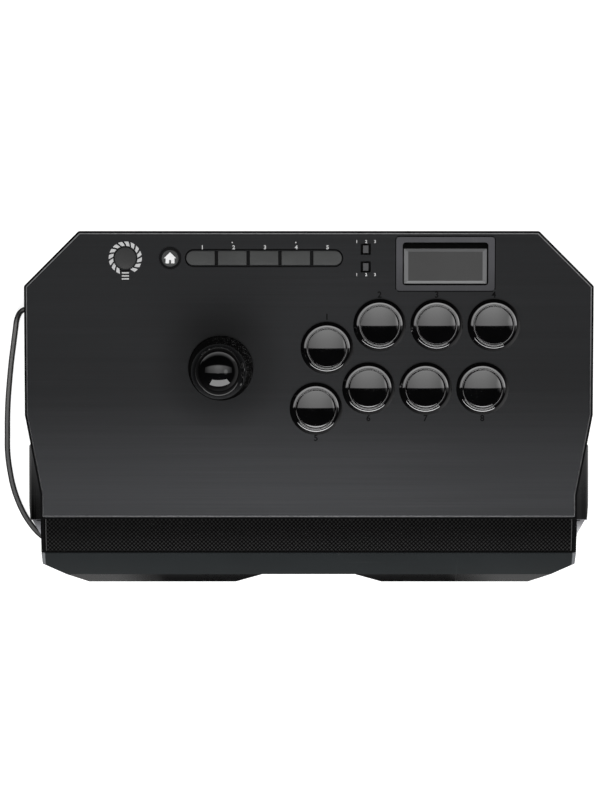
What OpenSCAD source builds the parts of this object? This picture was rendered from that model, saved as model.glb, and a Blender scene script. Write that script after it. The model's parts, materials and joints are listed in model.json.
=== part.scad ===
/* [Body] */
// Overall width across the deck
body_w = 368; // [350:1:400]
// Overall depth from the toes of the legs to the rear edge
body_d = 229.2; // [220:0.2:245]
// Height of the top plate at its front edge
deck_z = 40; // [39:0.5:46]
// Tilt of the top plate towards the player, in degrees
slope = 4; // [3:0.5:5]
// Height of the rubber feet
foot_h = 6; // [5:0.5:9]
// Wall of the moulded housings
wall = 2.5; // [2:0.1:3]

/* [Deck] */
// Width by which each rear corner cuts into the rear edge
rear_inset = 35.5; // [30:0.5:44]
// Depth of the chamfered rear corners
corner_d = 35.3; // [25:0.5:45]
// Length of the straight sides
side_d = 83.2; // [70:0.5:95]
// Depth over which the sides taper in towards the front
taper_d = 52.1; // [40:0.5:60]
// Distance that the deck's sides stand in at the palm rest
nose_inset = 9.8; // [6:0.1:14]
// Width of the black rim beside the top plate
rim = 1.1; // [0.8:0.1:2]
// Width of the ledge that the top plate lies on
ledge_w = 3.5; // [2.5:0.1:4]
// Thickness of that ledge
ledge_t = 3; // [2:0.1:4]
// Corner radius of the top plate
plate_r = 2; // [1:0.5:4]
// Thickness of the metal top plate
plate_t = 2; // [1.6:0.1:2.4]
// Height of the parting line between deck and base
split_z = 30; // [28:0.5:32]
// Width of the bevel under the overhanging deck
under_w = 5; // [2:0.5:8]
// Height of that bevel
under_h = 6; // [3:0.5:8]

/* [Front] */
// Depth of the palm rest strip
palm_d = 23.3; // [20:0.1:26]
// Drop of the palm rest over its depth
palm_drop = 5; // [4:0.1:6]
// Radius of the palm rest's crown
palm_r = 60; // [50:1:90]
// Thickness of the palm rest
palm_t = 2.2; // [1.6:0.1:3]
// Width of the shell's rim at each end of the palm rest
palm_rim = 2.3; // [1.5:0.1:4]
// Gap between the palm rest and the top plate
palm_gap = 0.9; // [0.5:0.1:1.5]
// Run of the sloping front bar
bar_run = 15; // [12:0.5:18]
// Height of the front bar's lower edge
bar_z = 17; // [16.5:0.5:19]
// Thickness of the front bar
bar_t = 2; // [1.5:0.1:3]
// Height at which the front bar's end corners are cut
cut_z = 26; // [24:0.5:28]
// Distance that the front bar's lower edge ends short of the body's side
toe_inset = 24.6; // [19:0.1:34]

/* [Base] */
// Distance that the bottom of the legs ends short of the body's side
sole_inset = 38.7; // [34:0.1:49]
// Run of the legs' sloping faces
leg_run = 5.6; // [4:0.1:8]
// Width of the arch between the legs at its top
arch_w = 60.8; // [50:0.2:70]
// Width of the arch at the bottom of the legs
arch_foot_w = 96.4; // [90:0.2:104]
// Depth of the arch from the front
arch_d = 17.6; // [15:0.2:20]
// Thickness of the lintel over the arch
lintel_t = 2.2; // [1.6:0.1:3]
// Distance that the wings of the base stand in from the body's side
wing_inset = 0.6; // [0.4:0.1:3]
// Radius of the wings' shoulders
shoulder_r = 7; // [4:0.5:9]
// Distance that the base stands in under the overhanging rear of the deck
base_inset = 18; // [14:0.5:24]
// Distance that the base stands in from the rear edge
base_in = 16.6; // [12:0.2:22]
// Thickness of the base's floor
floor_t = 2.2; // [1.8:0.1:2.6]
// Width of the cord bay under the base
bay_w = 94; // [88:1:98]
// Width of the cord bay at its ceiling
bay_top_w = 90; // [84:1:94]
// Length of the cord bay behind the arch
bay_d = 89; // [80:1:91]
// Height of the cord bay's ceiling above the table
bay_z = 18.6; // [18:0.2:20]
// Radius of the feet
foot_r = 8; // [6:0.5:10]

/* [Lever] */
// Place of the lever from the middle of the deck
lever_u = -57; // [-62:1:-52]
// Place of the lever from the top plate's front edge
lever_v = 97.3; // [94:0.5:100]
// Diameter of the ball top
ball_d = 35; // [30:1:38]
// Height of the ball top's middle above the top plate
ball_w = 40; // [36:0.5:46]
// Diameter of the steel shaft
shaft_d = 8; // [7:0.5:9]
// Outer diameter of the shaft cover
cover_d = 11.5; // [11:0.1:13]
// Diameter of the hole for the lever in the top plate
lever_hole_d = 24; // [22:0.5:28]
// Outer diameter of the dust washer
washer_d = 42; // [38:0.5:46]
// Thickness of the dust washer
washer_t = 1.2; // [0.8:0.1:1.6]
// Depth of the pivot's centre below the top plate
pivot_drop = 12; // [11.5:0.1:12.5]
// Radius of the pivot ball
pivot_r = 8; // [7.5:0.1:8.5]
// Largest tilt of the lever each way, in degrees
lever_tilt = 9; // [7:0.5:9]

/* [Buttons] */
// Place of the second button from the middle of the deck
cluster_u = 45.7; // [42:0.5:50]
// Place of the upper button row from the top plate's front edge
cluster_v = 125; // [122:0.5:130]
// Distance between buttons in a row
button_pitch = 36.9; // [35:0.1:39]
// Distance between the two rows
row_pitch = 41; // [37:0.5:42]
// Shift of the lower row to the left
row_shift = 7.1; // [5:0.1:9]
// Distance of the first button of a row from the second
first_pitch = 34; // [33.5:0.5:36]
// Drop of the first button below the upper row
first_drop = 14.8; // [12:0.1:17]
// How much less the lower row's first button drops
first_rise = 1.7; // [0:0.1:3]
// Outer diameter of a button's rim
button_rim_d = 33.2; // [32.5:0.1:34]
// Diameter of a button's moving cap
cap_d = 24; // [22:0.2:24.4]
// Outer diameter of a button's barrel
barrel_d = 29.8; // [29.4:0.1:30]
// Height of a button's rim
button_rim_h = 3; // [2:0.1:4]
// Travel of a button
button_travel = 2.2; // [1.5:0.1:2.5]
// Depth of a button's barrel below the top plate
barrel_h = 19; // [18:0.5:20]

/* [Keys] */
// Distance of the key row behind which the rear edge lies
key_back = 17.4; // [16.5:0.1:19]
// Place of the middle function key from the middle of the deck
key_u = -28.9; // [-31:0.5:-27]
// Width of a function key
key_w = 18.2; // [16:0.1:18.6]
// Height of a function key
key_h = 8.9; // [7:0.1:9.2]
// Gap between function keys
key_gap = 2.3; // [2:0.1:3]
// Travel of the keys
key_travel = 0.8; // [0.4:0.1:1]
// Place of the home button from the middle of the deck
home_u = -89.5; // [-93:0.5:-88.5]
// Radius of the home button
home_r = 5.5; // [4.5:0.1:5.8]
// Radius of the dark collar round the home button
collar_r = 7.1; // [6.8:0.1:8]
// Place of the options button from the middle of the deck
options_u = -118.4; // [-124:0.5:-114]
// Radius of the options button
options_r = 7.1; // [6:0.1:7.5]

/* [Touchpad] */
// Place of the touchpad's middle from the middle of the deck
touch_u = 88.15; // [82:0.5:92]
// Distance of the touchpad's bezel from the rear edge
touch_back = 3.8; // [3.5:0.1:5]
// Width of the touchpad's bezel
bezel_w = 63.5; // [60:0.5:66]
// Depth of the touchpad's bezel
bezel_d = 34.65; // [33:0.1:36]
// Height of the bezel above the top plate
bezel_h = 0.8; // [0.4:0.1:1.2]
// Width of the moving pad
pad_w = 53.5; // [48:0.5:55]
// Depth of the moving pad
pad_d = 24; // [20:0.5:25]
// Travel of the pad
pad_travel = 0.5; // [0.3:0.1:0.6]

/* [Slide switches] */
// Place of the slide switches from the middle of the deck
slide_u = 36.7; // [35:0.1:38]
// Distance of the rear slide switch from the rear edge
slide_back = 11.7; // [11:0.1:13]
// Distance between the two slide switches
slide_pitch = 11.4; // [10:0.1:12.5]
// Width of a slide switch's window
window_w = 6.6; // [6.5:0.1:7]
// Depth of a slide switch's window
window_d = 7.2; // [6.8:0.1:7.6]
// Width of a slide switch's knob
knob_w = 3.4; // [3:0.1:3.4]
// Travel of a slide switch each way
slide_travel = 1.5; // [1:0.1:1.5]

/* [Cord] */
// Diameter of the cord
cord_d = 3.8; // [3.4:0.1:3.8]
// Height of the cord's outlet above the table
gland_z = 12; // [11:0.5:14]
// Place of the cord's outlet from the middle, front to rear
gland_y = 66; // [60:1:70]
// Length of the strain relief
gland_l = 9; // [7:0.5:9]
// Diameter of the bore in the headset socket
socket_d = 3.6; // [3.5:0.1:3.8]
// Depth of the headset socket
socket_l = 14; // [12:0.5:16]
// Place of the headset socket from the middle
socket_u = 60; // [50:1:70]

/* [Hidden] */
$fn = 64;
// overrun of a cut past the face that it opens
over = 1;
// running clearance between a moving piece and its guide
run = 0.25;
// slip clearance of a fixed piece in its hole
slip = 0.1;
// clearance of a running pin in its bore
pin_fit = 0.05;

// widths of the outline from rear to front
rear_w = body_w - 2 * rear_inset;
nose_w = body_w - 2 * nose_inset;
toe_w = body_w - 2 * toe_inset;
sole_w = body_w - 2 * sole_inset;
wing_w = body_w - 2 * wing_inset;
base_w = body_w - 2 * base_inset;

// main places along the depth
y_rear = body_d / 2;
y_toe = -body_d / 2;
y_bar = y_toe + leg_run;
y_bar_top = y_bar + bar_run;
y_plate = y_bar_top + palm_d;
z_bar_top = deck_z - palm_drop;
y_step = y_plate - palm_gap - palm_rim / 2;
// length of the top plate's plane along its slope
deck_len = (y_rear - y_plate) / cos(slope);

// outline helpers: all outlines run anticlockwise
function both(r) = concat(r, [for (i = [len(r) - 1:-1:0]) [-r[i][0], r[i][1]]]);
function dir(a, b) = (b - a) / norm(b - a);
function left(d) = [-d[1], d[0]];
function prev(p, i) = p[(i + len(p) - 1) % len(p)];
function next(p, i) = p[(i + 1) % len(p)];
function miter(n1, n2) = (n1 + n2) / (1 + n1 * n2);
function inset(p, d) = [for (i = [0:len(p) - 1])
    p[i] + d * miter(left(dir(prev(p, i), p[i])), left(dir(p[i], next(p, i))))];
function cross2(a, b) = a[0] * b[1] - a[1] * b[0];
function wrap(a) = a > 180 ? a - 360 : a < -180 ? a + 360 : a;
function corner(a, b, c, r, n) =
    let (d1 = dir(a, b), d2 = dir(b, c), s = cross2(d1, d2) < 0 ? -1 : 1)
    let (m = b + s * r * miter(left(d1), left(d2)))
    let (o1 = -s * left(d1), o2 = -s * left(d2))
    let (t1 = atan2(o1[1], o1[0]), t = wrap(atan2(o2[1], o2[0]) - t1))
    [for (k = [0:n]) m + r * [cos(t1 + t * k / n), sin(t1 + t * k / n)]];
function rounded(p, r, n) = [for (i = [0:len(p) - 1])
    each corner(prev(p, i), p[i], next(p, i), r, n)];
function rect(w, d) = both([[w / 2, -d / 2], [w / 2, d / 2]]);

// a profile of y and z drawn out along x, and one of x and z drawn out along y
module along_x(p, w) rotate([90, 0, 90]) linear_extrude(w, center = true) polygon(p);
module along_y(p, y0, y1) translate([0, y1, 0]) rotate([90, 0, 0]) linear_extrude(y1 - y0) polygon(p);
module slab(p, z0, z1) translate([0, 0, z0]) linear_extrude(z1 - z0) polygon(p);
module rod(r, z0, z1) translate([0, 0, z0]) cylinder(r = r, h = z1 - z0);
module on_plate(u = 0, v = 0, w = 0) translate([0, y_plate, deck_z]) rotate([slope, 0, 0])
    translate([u, v, w]) children();
module both_sides() { children(); mirror([1, 0, 0]) children(); }

// plan outlines of the deck
deck_plan = both([
    [nose_w / 2, y_step - palm_d / 2],
    [nose_w / 2, y_rear - corner_d - side_d - taper_d],
    [body_w / 2, y_rear - corner_d - side_d],
    [body_w / 2, y_rear - corner_d],
    [rear_w / 2, y_rear]]);
function to_plate(p) = [for (q = p) [q[0], (q[1] - y_plate) / cos(slope)]];
plate_edge = to_plate(both([
    [nose_w / 2, y_plate - rim],
    [nose_w / 2, y_rear - corner_d - side_d - taper_d],
    [body_w / 2, y_rear - corner_d - side_d],
    [body_w / 2, y_rear - corner_d],
    [rear_w / 2, y_rear]]));

// plan outline of the base
wing_cut_y = y_rear - corner_d - side_d - body_w / 2 + base_w / 2 - wall;
base_plan = both([
    [toe_w / 2, y_bar + arch_d],
    [nose_w / 2 - wall, y_bar + arch_d],
    [nose_w / 2 + wall, y_bar_top + palm_d * 0.41],
    [wing_w / 2 - wall / 2, y_step],
    [wing_w / 2, y_step + palm_d / 2],
    [wing_w / 2, wing_cut_y],
    [base_w / 2, wing_cut_y + (wing_w - base_w) / 2],
    [base_w / 2, y_rear - base_in - corner_d + base_in / 2],
    [base_w / 2 - corner_d + base_in / 2, y_rear - base_in]]);

// side profile of the base behind the step, of y and z
base_side = [
    [y_step - palm_d * 0.6, foot_h],
    [y_rear, foot_h],
    [y_rear, split_z],
    [y_step, split_z],
    [y_step, bar_z]];
wing_front = let (w = wing_w / 2, r = shoulder_r, n = 6) concat(
    [[w - r, foot_h], [w, foot_h + r]],
    [for (k = [0:n]) [w - r + r * cos(k * 90 / n), split_z - r + r * sin(k * 90 / n)]]);
wing_profile = both(wing_front);
legs_profile = [
    [-toe_w / 2, bar_z], [-sole_w / 2, foot_h], [-arch_foot_w / 2, foot_h], [-arch_w / 2, bar_z],
    [arch_w / 2, bar_z], [arch_foot_w / 2, foot_h], [sole_w / 2, foot_h], [toe_w / 2, bar_z]];
front_side = [[y_toe, foot_h], [y_step + over, foot_h], [y_step + over, bar_z], [y_bar, bar_z]];

// nose profiles: the front of the deck, of y and z
bar_dir = dir([y_bar, bar_z], [y_bar_top, z_bar_top]);
bar_in = -left(bar_dir);
palm_a = [y_plate - palm_gap, deck_z];
palm_b = [y_bar_top + palm_gap / 2, z_bar_top];
palm_mid = (palm_a + palm_b) / 2;
palm_half = norm(palm_b - palm_a) / 2;
palm_centre = palm_mid - sqrt(palm_r * palm_r - palm_half * palm_half) * -left(dir(palm_a, palm_b));
nose_low = [y_bar + bar_t / bar_in[0], bar_z];
seat_y = palm_b[0] - palm_gap / 4;
bar_seat_top = nose_low + (seat_y - nose_low[0]) / bar_dir[0] * bar_dir;
bar_profile = [
    [y_bar, bar_z], nose_low, bar_seat_top, [seat_y, z_bar_top - bar_t / 4],
    [y_bar_top - bar_t / 4, z_bar_top - bar_t / 4]];
nose_side = [
    nose_low, [y_step, bar_z], [y_step, split_z], [y_plate + palm_rim, split_z],
    [y_plate + palm_rim, deck_z + palm_rim * tan(slope)], [y_plate, deck_z], palm_a,
    palm_b, [palm_b[0], bar_seat_top[1]], bar_seat_top];
nose_front = [
    [-nose_w / 2, cut_z], [-toe_w / 2, bar_z], [toe_w / 2, bar_z], [nose_w / 2, cut_z],
    [nose_w / 2, deck_z + over], [-nose_w / 2, deck_z + over]];
nose_hollow_front = [
    [-nose_w / 2 + wall, cut_z + wall / 2], [-toe_w / 2 + wall / 2, bar_z + wall / 2],
    [-toe_w / 2 + wall / 2, bar_z - over], [toe_w / 2 - wall / 2, bar_z - over],
    [toe_w / 2 - wall / 2, bar_z + wall / 2], [nose_w / 2 - wall, cut_z + wall / 2],
    [nose_w / 2 - wall, deck_z], [-nose_w / 2 + wall, deck_z]];
nose_hollow_side = [
    nose_low + [wall * 1.3, -over], [y_step + palm_rim * 2, bar_z - over],
    [y_step + palm_rim * 2, deck_z - ledge_t - plate_t],
    [y_plate - palm_gap, deck_z - ledge_t - plate_t],
    palm_b - [0, palm_t + wall + palm_t / 3], bar_seat_top - [0, wall + palm_t] + wall * bar_in];

// places of the screws that hold the base to the deck
screw_r = 1.5;
screw_head_r = 3;
screw_head_h = 2;
post_r = 4.5;
screw_in = 9;
screw_places = [
    [base_w / 2 - screw_in, y_rear - corner_d - side_d * 0.3],
    [base_w / 2 - screw_in, 0],
    [base_w / 2 - screw_in, y_step + screw_in],
    [rear_w / 2 - corner_d / 2, y_rear - base_in - screw_in]];
front_screw = [toe_w / 2 - post_r * 4.5, y_step - post_r * 1.6];
flange_t = 2.2;
flange_in = 18;

module deck_solid() {
    intersection() {
        slab(rounded(deck_plan, plate_r, 4), split_z, deck_z * 2);
        on_plate() translate([0, 0, -deck_z * 2]) linear_extrude(deck_z * 2) square(body_w * 2, center = true);
    }
    intersection() {
        along_x(nose_side, nose_w);
        along_y(nose_front, y_bar, y_plate + palm_rim);
    }
}
// bevel along one edge of an outline, cut from below
module under_bevel(a, b, w, h) {
    d = dir(a, b);
    translate([a[0], a[1], split_z]) rotate([0, 0, atan2(d[1], d[0])])
        translate([-w, 0, 0]) rotate([90, 0, 90]) linear_extrude(norm(b - a) + 2 * w)
            polygon([[-over, -over], [w + over * w / h, -over], [0, h], [-over, h]]);
}
module deck_hollow() {
    intersection() {
        union() {
            slab(inset(deck_plan, wall), split_z + under_h, deck_z * 2);
            slab(inset(deck_plan, wall + under_w), split_z + flange_t, deck_z);
        }
        on_plate(w = -plate_t - ledge_t - deck_z * 2) linear_extrude(deck_z * 2)
            square(body_w * 2, center = true);
        translate([-body_w, y_step + palm_rim * 2, 0]) cube([body_w * 2, body_d, body_w]);
    }
    slab(concat([[toe_w / 2 - wall, y_step + palm_rim], [base_w / 2 - flange_in, y_step + flange_in]],
        [[base_w / 2 - flange_in, y_rear - base_in - corner_d],
        [base_w / 2 - corner_d - flange_in / 2, y_rear - base_in - flange_in],
        [-base_w / 2 + corner_d + flange_in / 2, y_rear - base_in - flange_in],
        [-base_w / 2 + flange_in, y_rear - base_in - corner_d],
        [-base_w / 2 + flange_in, y_step + flange_in], [-toe_w / 2 + wall, y_step + palm_rim]]),
        split_z - over, split_z + flange_t + over);
    on_plate(w = -plate_t - ledge_t - over) linear_extrude(ledge_t + 2 * over)
        polygon(rounded(inset(plate_edge, rim + ledge_w), plate_r, 4));
}
module palm_band(r0, r1) {
    intersection() {
        translate([0, palm_centre[0], palm_centre[1]]) rotate([0, 90, 0]) difference() {
            cylinder(r = r1, h = nose_w - 2 * palm_rim, center = true, $fn = 200);
            cylinder(r = r0, h = nose_w, center = true, $fn = 200);
        }
        translate([-nose_w / 2, palm_b[0], 0]) cube([nose_w, palm_a[0] - palm_b[0], deck_z * 2]);
        translate([-nose_w / 2, y_bar, z_bar_top - palm_t * 2]) cube([nose_w, palm_d * 2, deck_z]);
    }
}

module upper_shell() color([0.09, 0.09, 0.095]) {
    difference() {
        union() {
            difference() {
                deck_solid();
                deck_hollow();
                intersection() {
                    along_x(nose_hollow_side, nose_w);
                    along_y(nose_hollow_front, y_bar, y_plate + palm_rim * 3);
                }
            }
            both_sides() for (p = screw_places)
                translate([p[0], p[1], split_z]) cylinder(r = post_r, h = flange_t + post_r);
            both_sides() translate([front_screw[0], front_screw[1], bar_z])
                cylinder(r = post_r, h = z_bar_top - bar_z);
        }
        palm_band(palm_r - palm_t, palm_r + palm_t);
        on_plate(w = -plate_t) linear_extrude(plate_t + over)
            polygon(rounded(inset(plate_edge, rim), plate_r, 4));
        both_sides() {
            under_bevel(deck_plan[2], deck_plan[3], under_w, under_h);
            under_bevel(deck_plan[3], deck_plan[4], under_w, under_h);
        }
        under_bevel(deck_plan[4], deck_plan[5], under_w, under_h);
        both_sides() for (p = screw_places)
            translate([p[0], p[1], split_z - over]) cylinder(r = screw_r, h = flange_t + post_r);
        both_sides() translate([front_screw[0], front_screw[1], bar_z - over])
            cylinder(r = screw_r, h = post_r * 2);
    }
}
module top_panel() color([0.2, 0.2, 0.21]) {
    on_plate() {
        difference() {
            slab(rounded(inset(plate_edge, rim + slip), plate_r, 4), -plate_t, 0);
            translate([lever_u, lever_v, 0]) rod(lever_hole_d / 2, -plate_t - over, over);
            for (p = buttons) translate([p[0], p[1], 0]) rod(barrel_d / 2 + slip, -plate_t - over, over);
            slab(key_slot, -plate_t - over, over);
            translate([home_u, key_v, 0]) rod(collar_r + slip, -plate_t - over, over);
            translate([options_u, key_v, 0]) rod(options_r + run, -plate_t - over, over);
            for (s = [0, 1]) translate([slide_u, slide_v - s * slide_pitch, 0])
                slab(rounded(rect(window_w, window_d), plate_r / 4, 3), -plate_t - over, over);
            for (s = [-1, 1]) translate([key_u + s * (key_w + key_gap), led_v, 0])
                rod(led_r + slip, -plate_t - over, over);
            translate([touch_u, touch_v, 0]) slab(rounded(rect(bezel_w - 2 * bezel_lip + 2 * slip,
                bezel_d - 2 * bezel_lip + 2 * slip), plate_r, 3), -plate_t - over, over);
        }
        for (x = [-1, 1], y = [-1, 1]) translate([lever_u + x * stud_u, lever_v + y * stud_v, 0])
            rod(stud_r, -plate_t - stud_l, -plate_t);
    }
}

module palm_rest() color([0.07, 0.07, 0.07]) palm_band(palm_r - palm_t, palm_r);

module front_bar() color([0.2, 0.21, 0.22]) intersection() {
    along_x(bar_profile, nose_w);
    along_y(nose_front, y_bar, y_plate);
}

module post_at(p, z0, z1) { translate([p[0], p[1], 0]) rod(post_r, z0, z1); }
module base_solid() {
    intersection() {
        slab(rounded(base_plan, plate_r, 4), foot_h, split_z);
        along_x(base_side, body_w);
        along_y(wing_profile, y_toe, y_rear);
    }
    intersection() {
        along_x(front_side, body_w);
        along_y(legs_profile, y_toe, y_step + over);
        difference() {
            translate([-body_w / 2, y_toe, 0]) cube([body_w, body_d, split_z]);
        }
    }
    // lintel across the arch, and the wall behind it
    translate([-arch_foot_w / 2, y_toe + leg_run + bar_t, bar_z - lintel_t])
        cube([arch_foot_w, arch_d, lintel_t]);
}
module base_hollow() {
    intersection() {
        slab(inset(base_plan, wall), foot_h + floor_t, split_z + over);
        along_x([[y_step - palm_d * 0.6 + wall * 1.6, foot_h], [y_rear, foot_h], [y_rear, split_z + over],
            [y_step + wall, split_z + over], [y_step + wall, bar_z + over],
            [y_step - wall / 2, bar_z + over], [y_step - wall / 2, bar_z - over]], body_w);
        along_y(inset(both(concat(wing_front, [[wing_w / 2 - shoulder_r, split_z * 2]])), wall),
            y_toe, y_rear);
    }
    intersection() {
        along_x([[y_toe + leg_run + wall / 2, foot_h + floor_t], [y_step + palm_d, foot_h + floor_t],
            [y_step + palm_d, bar_z + over], [y_bar + wall * 1.2, bar_z + over]], body_w);
        along_y([[-toe_w / 2 + wall, bar_z + over], [-sole_w / 2 + wall, foot_h],
            [sole_w / 2 - wall, foot_h], [toe_w / 2 - wall, bar_z + over]], y_toe, y_step + palm_d);
    }
}
// space of the arch and the cord bay, grown by a wall
module bay(g) {
    along_y([[-arch_foot_w / 2 - g, foot_h - over], [arch_foot_w / 2 + g, foot_h - over],
        [arch_foot_w / 2 + g, foot_h], [arch_w / 2 + g, bar_z - lintel_t + g],
        [-arch_w / 2 - g, bar_z - lintel_t + g], [-arch_foot_w / 2 - g, foot_h]], y_toe - over, y_toe + arch_d);
    bay_box(g, foot_h - over);
}
module bay_box(g, low) {
    front = y_toe + arch_d - (g > 0 ? g : over);
    intersection() {
        along_y([[-bay_w / 2 - g, low], [bay_w / 2 + g, low],
            [bay_top_w / 2 + g, bay_z + g], [-bay_top_w / 2 - g, bay_z + g]],
            front, y_toe + arch_d + bay_d + g);
        // its front corner is cut back, clear of the deck's nose
        along_x([[front, low], [front, bay_z - g / 5], [front + g + g / 5, bay_z + g],
            [y_toe + arch_d + bay_d + g, bay_z + g], [y_toe + arch_d + bay_d + g, low]], body_w);
    }
}
foot_places = [
    [sole_w / 2 - foot_r * 3.2, y_toe + leg_run + foot_r * 1.1],
    [base_w / 2 - corner_d, y_rear - base_in - foot_r * 1.8],
    [wing_w / 2 - foot_r * 2.2, y_step + foot_r * 4.6]];

module base_shell() color([0.1, 0.1, 0.105]) difference() {
    union() {
        difference() {
            base_solid();
            difference() {
                base_hollow();
                bay(wall);
            }
        }
        bay_box(wall, foot_h);
        both_sides() for (p = screw_places) post_at(p, foot_h, split_z);
        both_sides() post_at(front_screw, foot_h, bar_z);
        for (p = board_posts) post_at(p, foot_h, board_z);
    }
    bay(0);
    both_sides() for (p = concat(screw_places, [front_screw])) translate([p[0], p[1], 0]) {
        rod(screw_r + slip, foot_h - over, split_z + over);
        rod(screw_head_r + slip, foot_h - over, foot_h + screw_head_h + floor_t);
    }
    for (p = board_posts) translate([p[0], p[1], 0]) rod(screw_r, board_z - post_r, board_z + over);
    // notch for the headset socket's plate, open at the parting line
    translate([socket_u - socket_plate_w / 2, y_rear - base_in - wall - over, split_z - socket_plate_h])
        cube([socket_plate_w, wall + 2 * over, socket_plate_h + over]);
    // hole for the cord's gland
    translate([-base_w / 2, gland_y, gland_z]) rotate([0, 90, 0])
        cylinder(r = gland_neck_r + slip, h = wall * 4, center = true);
}

module rubber_feet() color([0.13, 0.13, 0.13]) both_sides() for (p = foot_places)
    translate([p[0], p[1], 0]) rotate_extrude() polygon([[0, 0], [foot_r - foot_h / 8, 0],
        [foot_r, foot_h / 8], [foot_r, foot_h], [0, foot_h]]);

module screw(z, l) translate([0, 0, z]) difference() {
    union() {
        rod(screw_r, 0, l);
        rod(screw_head_r, 0, screw_head_h);
    }
    translate([0, 0, -over]) cylinder(r = screw_r, h = screw_head_h / 2 + over, $fn = 6);
}
module base_screws() color([0.55, 0.55, 0.57]) both_sides() {
    for (p = screw_places) translate([p[0], p[1], 0])
        screw(foot_h + floor_t, split_z + flange_t + post_r / 2 - foot_h - floor_t);
    translate([front_screw[0], front_screw[1], 0])
        screw(foot_h + floor_t, bar_z + post_r * 1.4 - foot_h - floor_t);
}

// headset socket: a port plate with a barrel behind it
socket_plate_w = 12;
socket_plate_h = 12;
socket_plate_t = wall;
socket_wall = 1.8;
socket_z = split_z - socket_plate_h / 2;
module headset_socket() color([0.06, 0.06, 0.06]) difference() {
    union() {
        translate([socket_u - socket_plate_w / 2 + slip, y_rear - base_in - wall, split_z - socket_plate_h + slip])
            cube([socket_plate_w - 2 * slip, socket_plate_t, socket_plate_h - 2 * slip]);
        translate([socket_u, y_rear - base_in - wall, socket_z]) rotate([90, 0, 0])
            cylinder(r = socket_d / 2 + socket_wall, h = socket_l);
    }
    translate([socket_u, y_rear - base_in + over, socket_z]) rotate([90, 0, 0])
        cylinder(r = socket_d / 2, h = socket_l + over);
}

// circuit boards
board_t = 1.6;
board_z = 13;
board_w = 54;
board_d = 80;
board_u = -base_w / 2 + wall * 6 + board_w / 2;
board_y = -10;
board_posts = [for (x = [-1, 1], y = [-1, 1])
    [board_u + x * (board_w / 2 - post_r), board_y + y * (board_d / 2 - post_r)]];
module main_board() color([0.05, 0.25, 0.12]) difference() {
    union() {
        translate([board_u - board_w / 2, board_y - board_d / 2, board_z]) cube([board_w, board_d, board_t]);
        translate([board_u - board_w / 8, board_y - board_d / 8, board_z + board_t])
            cube([board_w / 4, board_w / 4, board_t]);
        for (k = [-1, 0, 1]) translate([board_u + board_w / 2 - board_t * 5, board_y + k * board_d / 5, board_z + board_t])
            cube([board_t * 4, board_t * 8, board_t * 4]);
    }
    for (p = board_posts) translate([p[0], p[1], 0]) rod(screw_r + slip, board_z - over, board_z + board_t + over);
}
module board_screws() color([0.55, 0.55, 0.57]) for (p = board_posts)
    translate([p[0], p[1], board_z]) {
        rod(screw_r - slip, -post_r / 2, board_t);
        rod(screw_head_r, board_t, board_t + screw_head_h);
    }

// key row on the top plate, in the plate's own frame
key_v = deck_len - key_back;
key_r = key_h / 2;
key_row_w = 5 * key_w + 4 * key_gap;
key_slot = rounded([for (q = rect(key_row_w + 2 * run, key_h + 3 * run)) q + [key_u, key_v]], key_r, 8);
led_r = 0.9;
led_v = key_v + 10.1;
slide_v = deck_len - slide_back;
touch_v = deck_len - touch_back - bezel_d / 2;
bezel_lip = 1.2;
key_plate_t = 2;
key_top = 0.4;
key_flange = 0.8;
key_flange_t = 0.8;
key_stem_r = 1.5;
tact_h = 3;
key_stem_l = 0.4;
key_foot = -plate_t - key_plate_t - slip;
key_board_w = key_foot - key_flange_t - key_stem_l - key_travel - slip - tact_h - board_t;
key_places = [for (k = [-2:2]) key_u + k * (key_w + key_gap)];
plate_left = options_u - options_r - key_plate_t * 2;
plate_right = key_u + key_row_w / 2 + key_plate_t;
module key_cap(k, g) {
    end = abs(k) == 2;
    translate([key_places[k + 2], key_v, 0]) intersection() {
        square([key_w + 2 * g, key_h + 2 * g], center = true);
        if (end) translate([k > 0 ? -key_w / 2 : key_w / 2, 0])
            polygon(rounded(rect(2 * key_w + 2 * g, key_h + 2 * g), key_r + g - slip, 8));
    }
}
module key_bezel() color([0.07, 0.07, 0.07]) on_plate() difference() {
    union() {
        translate([0, 0, -plate_t - key_plate_t]) linear_extrude(key_plate_t) polygon([
            [plate_left, key_v - key_h], [plate_right, key_v - key_h],
            [plate_right, key_v + key_h * 0.9], [plate_left, key_v + key_h * 0.9]]);
        translate([home_u, key_v, 0]) rod(collar_r, -plate_t - key_plate_t, key_top);
        for (k = [-2:1]) translate([key_places[k + 2] + (key_w + key_gap) / 2, key_v, 0])
            slab(rect(key_gap - 2 * run, key_h), -plate_t - key_plate_t, -key_top);
        for (s = [-1, 1]) translate([key_u + s * (key_w + key_gap), led_v, 0])
            rod(led_r, -plate_t - key_plate_t, 0);
        for (s = [-1, 1]) translate([key_u + s * (key_w + key_gap), (led_v + key_v + key_h * 0.8) / 2, 0])
            slab(rect(led_r * 3, led_v - key_v - key_h * 0.8 + led_r * 2), -plate_t - key_plate_t, -plate_t);
    }
    for (k = [-2:2]) translate([0, 0, -plate_t - key_plate_t - over]) linear_extrude(key_plate_t + plate_t + 2 * over)
        key_cap(k, run);
    translate([home_u, key_v, 0]) rod(home_r + run, -plate_t - key_plate_t - over, over);
    translate([options_u, key_v, 0]) rod(options_r + run, -plate_t - key_plate_t - over, over);
}
module key_tail() {
    rod(key_stem_r, key_board_w + board_t + tact_h + key_travel + slip, key_foot);
}
module function_key(k) color([0.3, 0.3, 0.31]) on_plate() {
    translate([0, 0, key_foot]) linear_extrude(key_top - key_foot) key_cap(k, 0);
    translate([key_places[k + 2], key_v, 0]) {
        slab(rect(key_w + key_flange, key_h + 2 * key_flange), key_foot - key_flange_t, key_foot);
        key_tail();
    }
}
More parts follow.
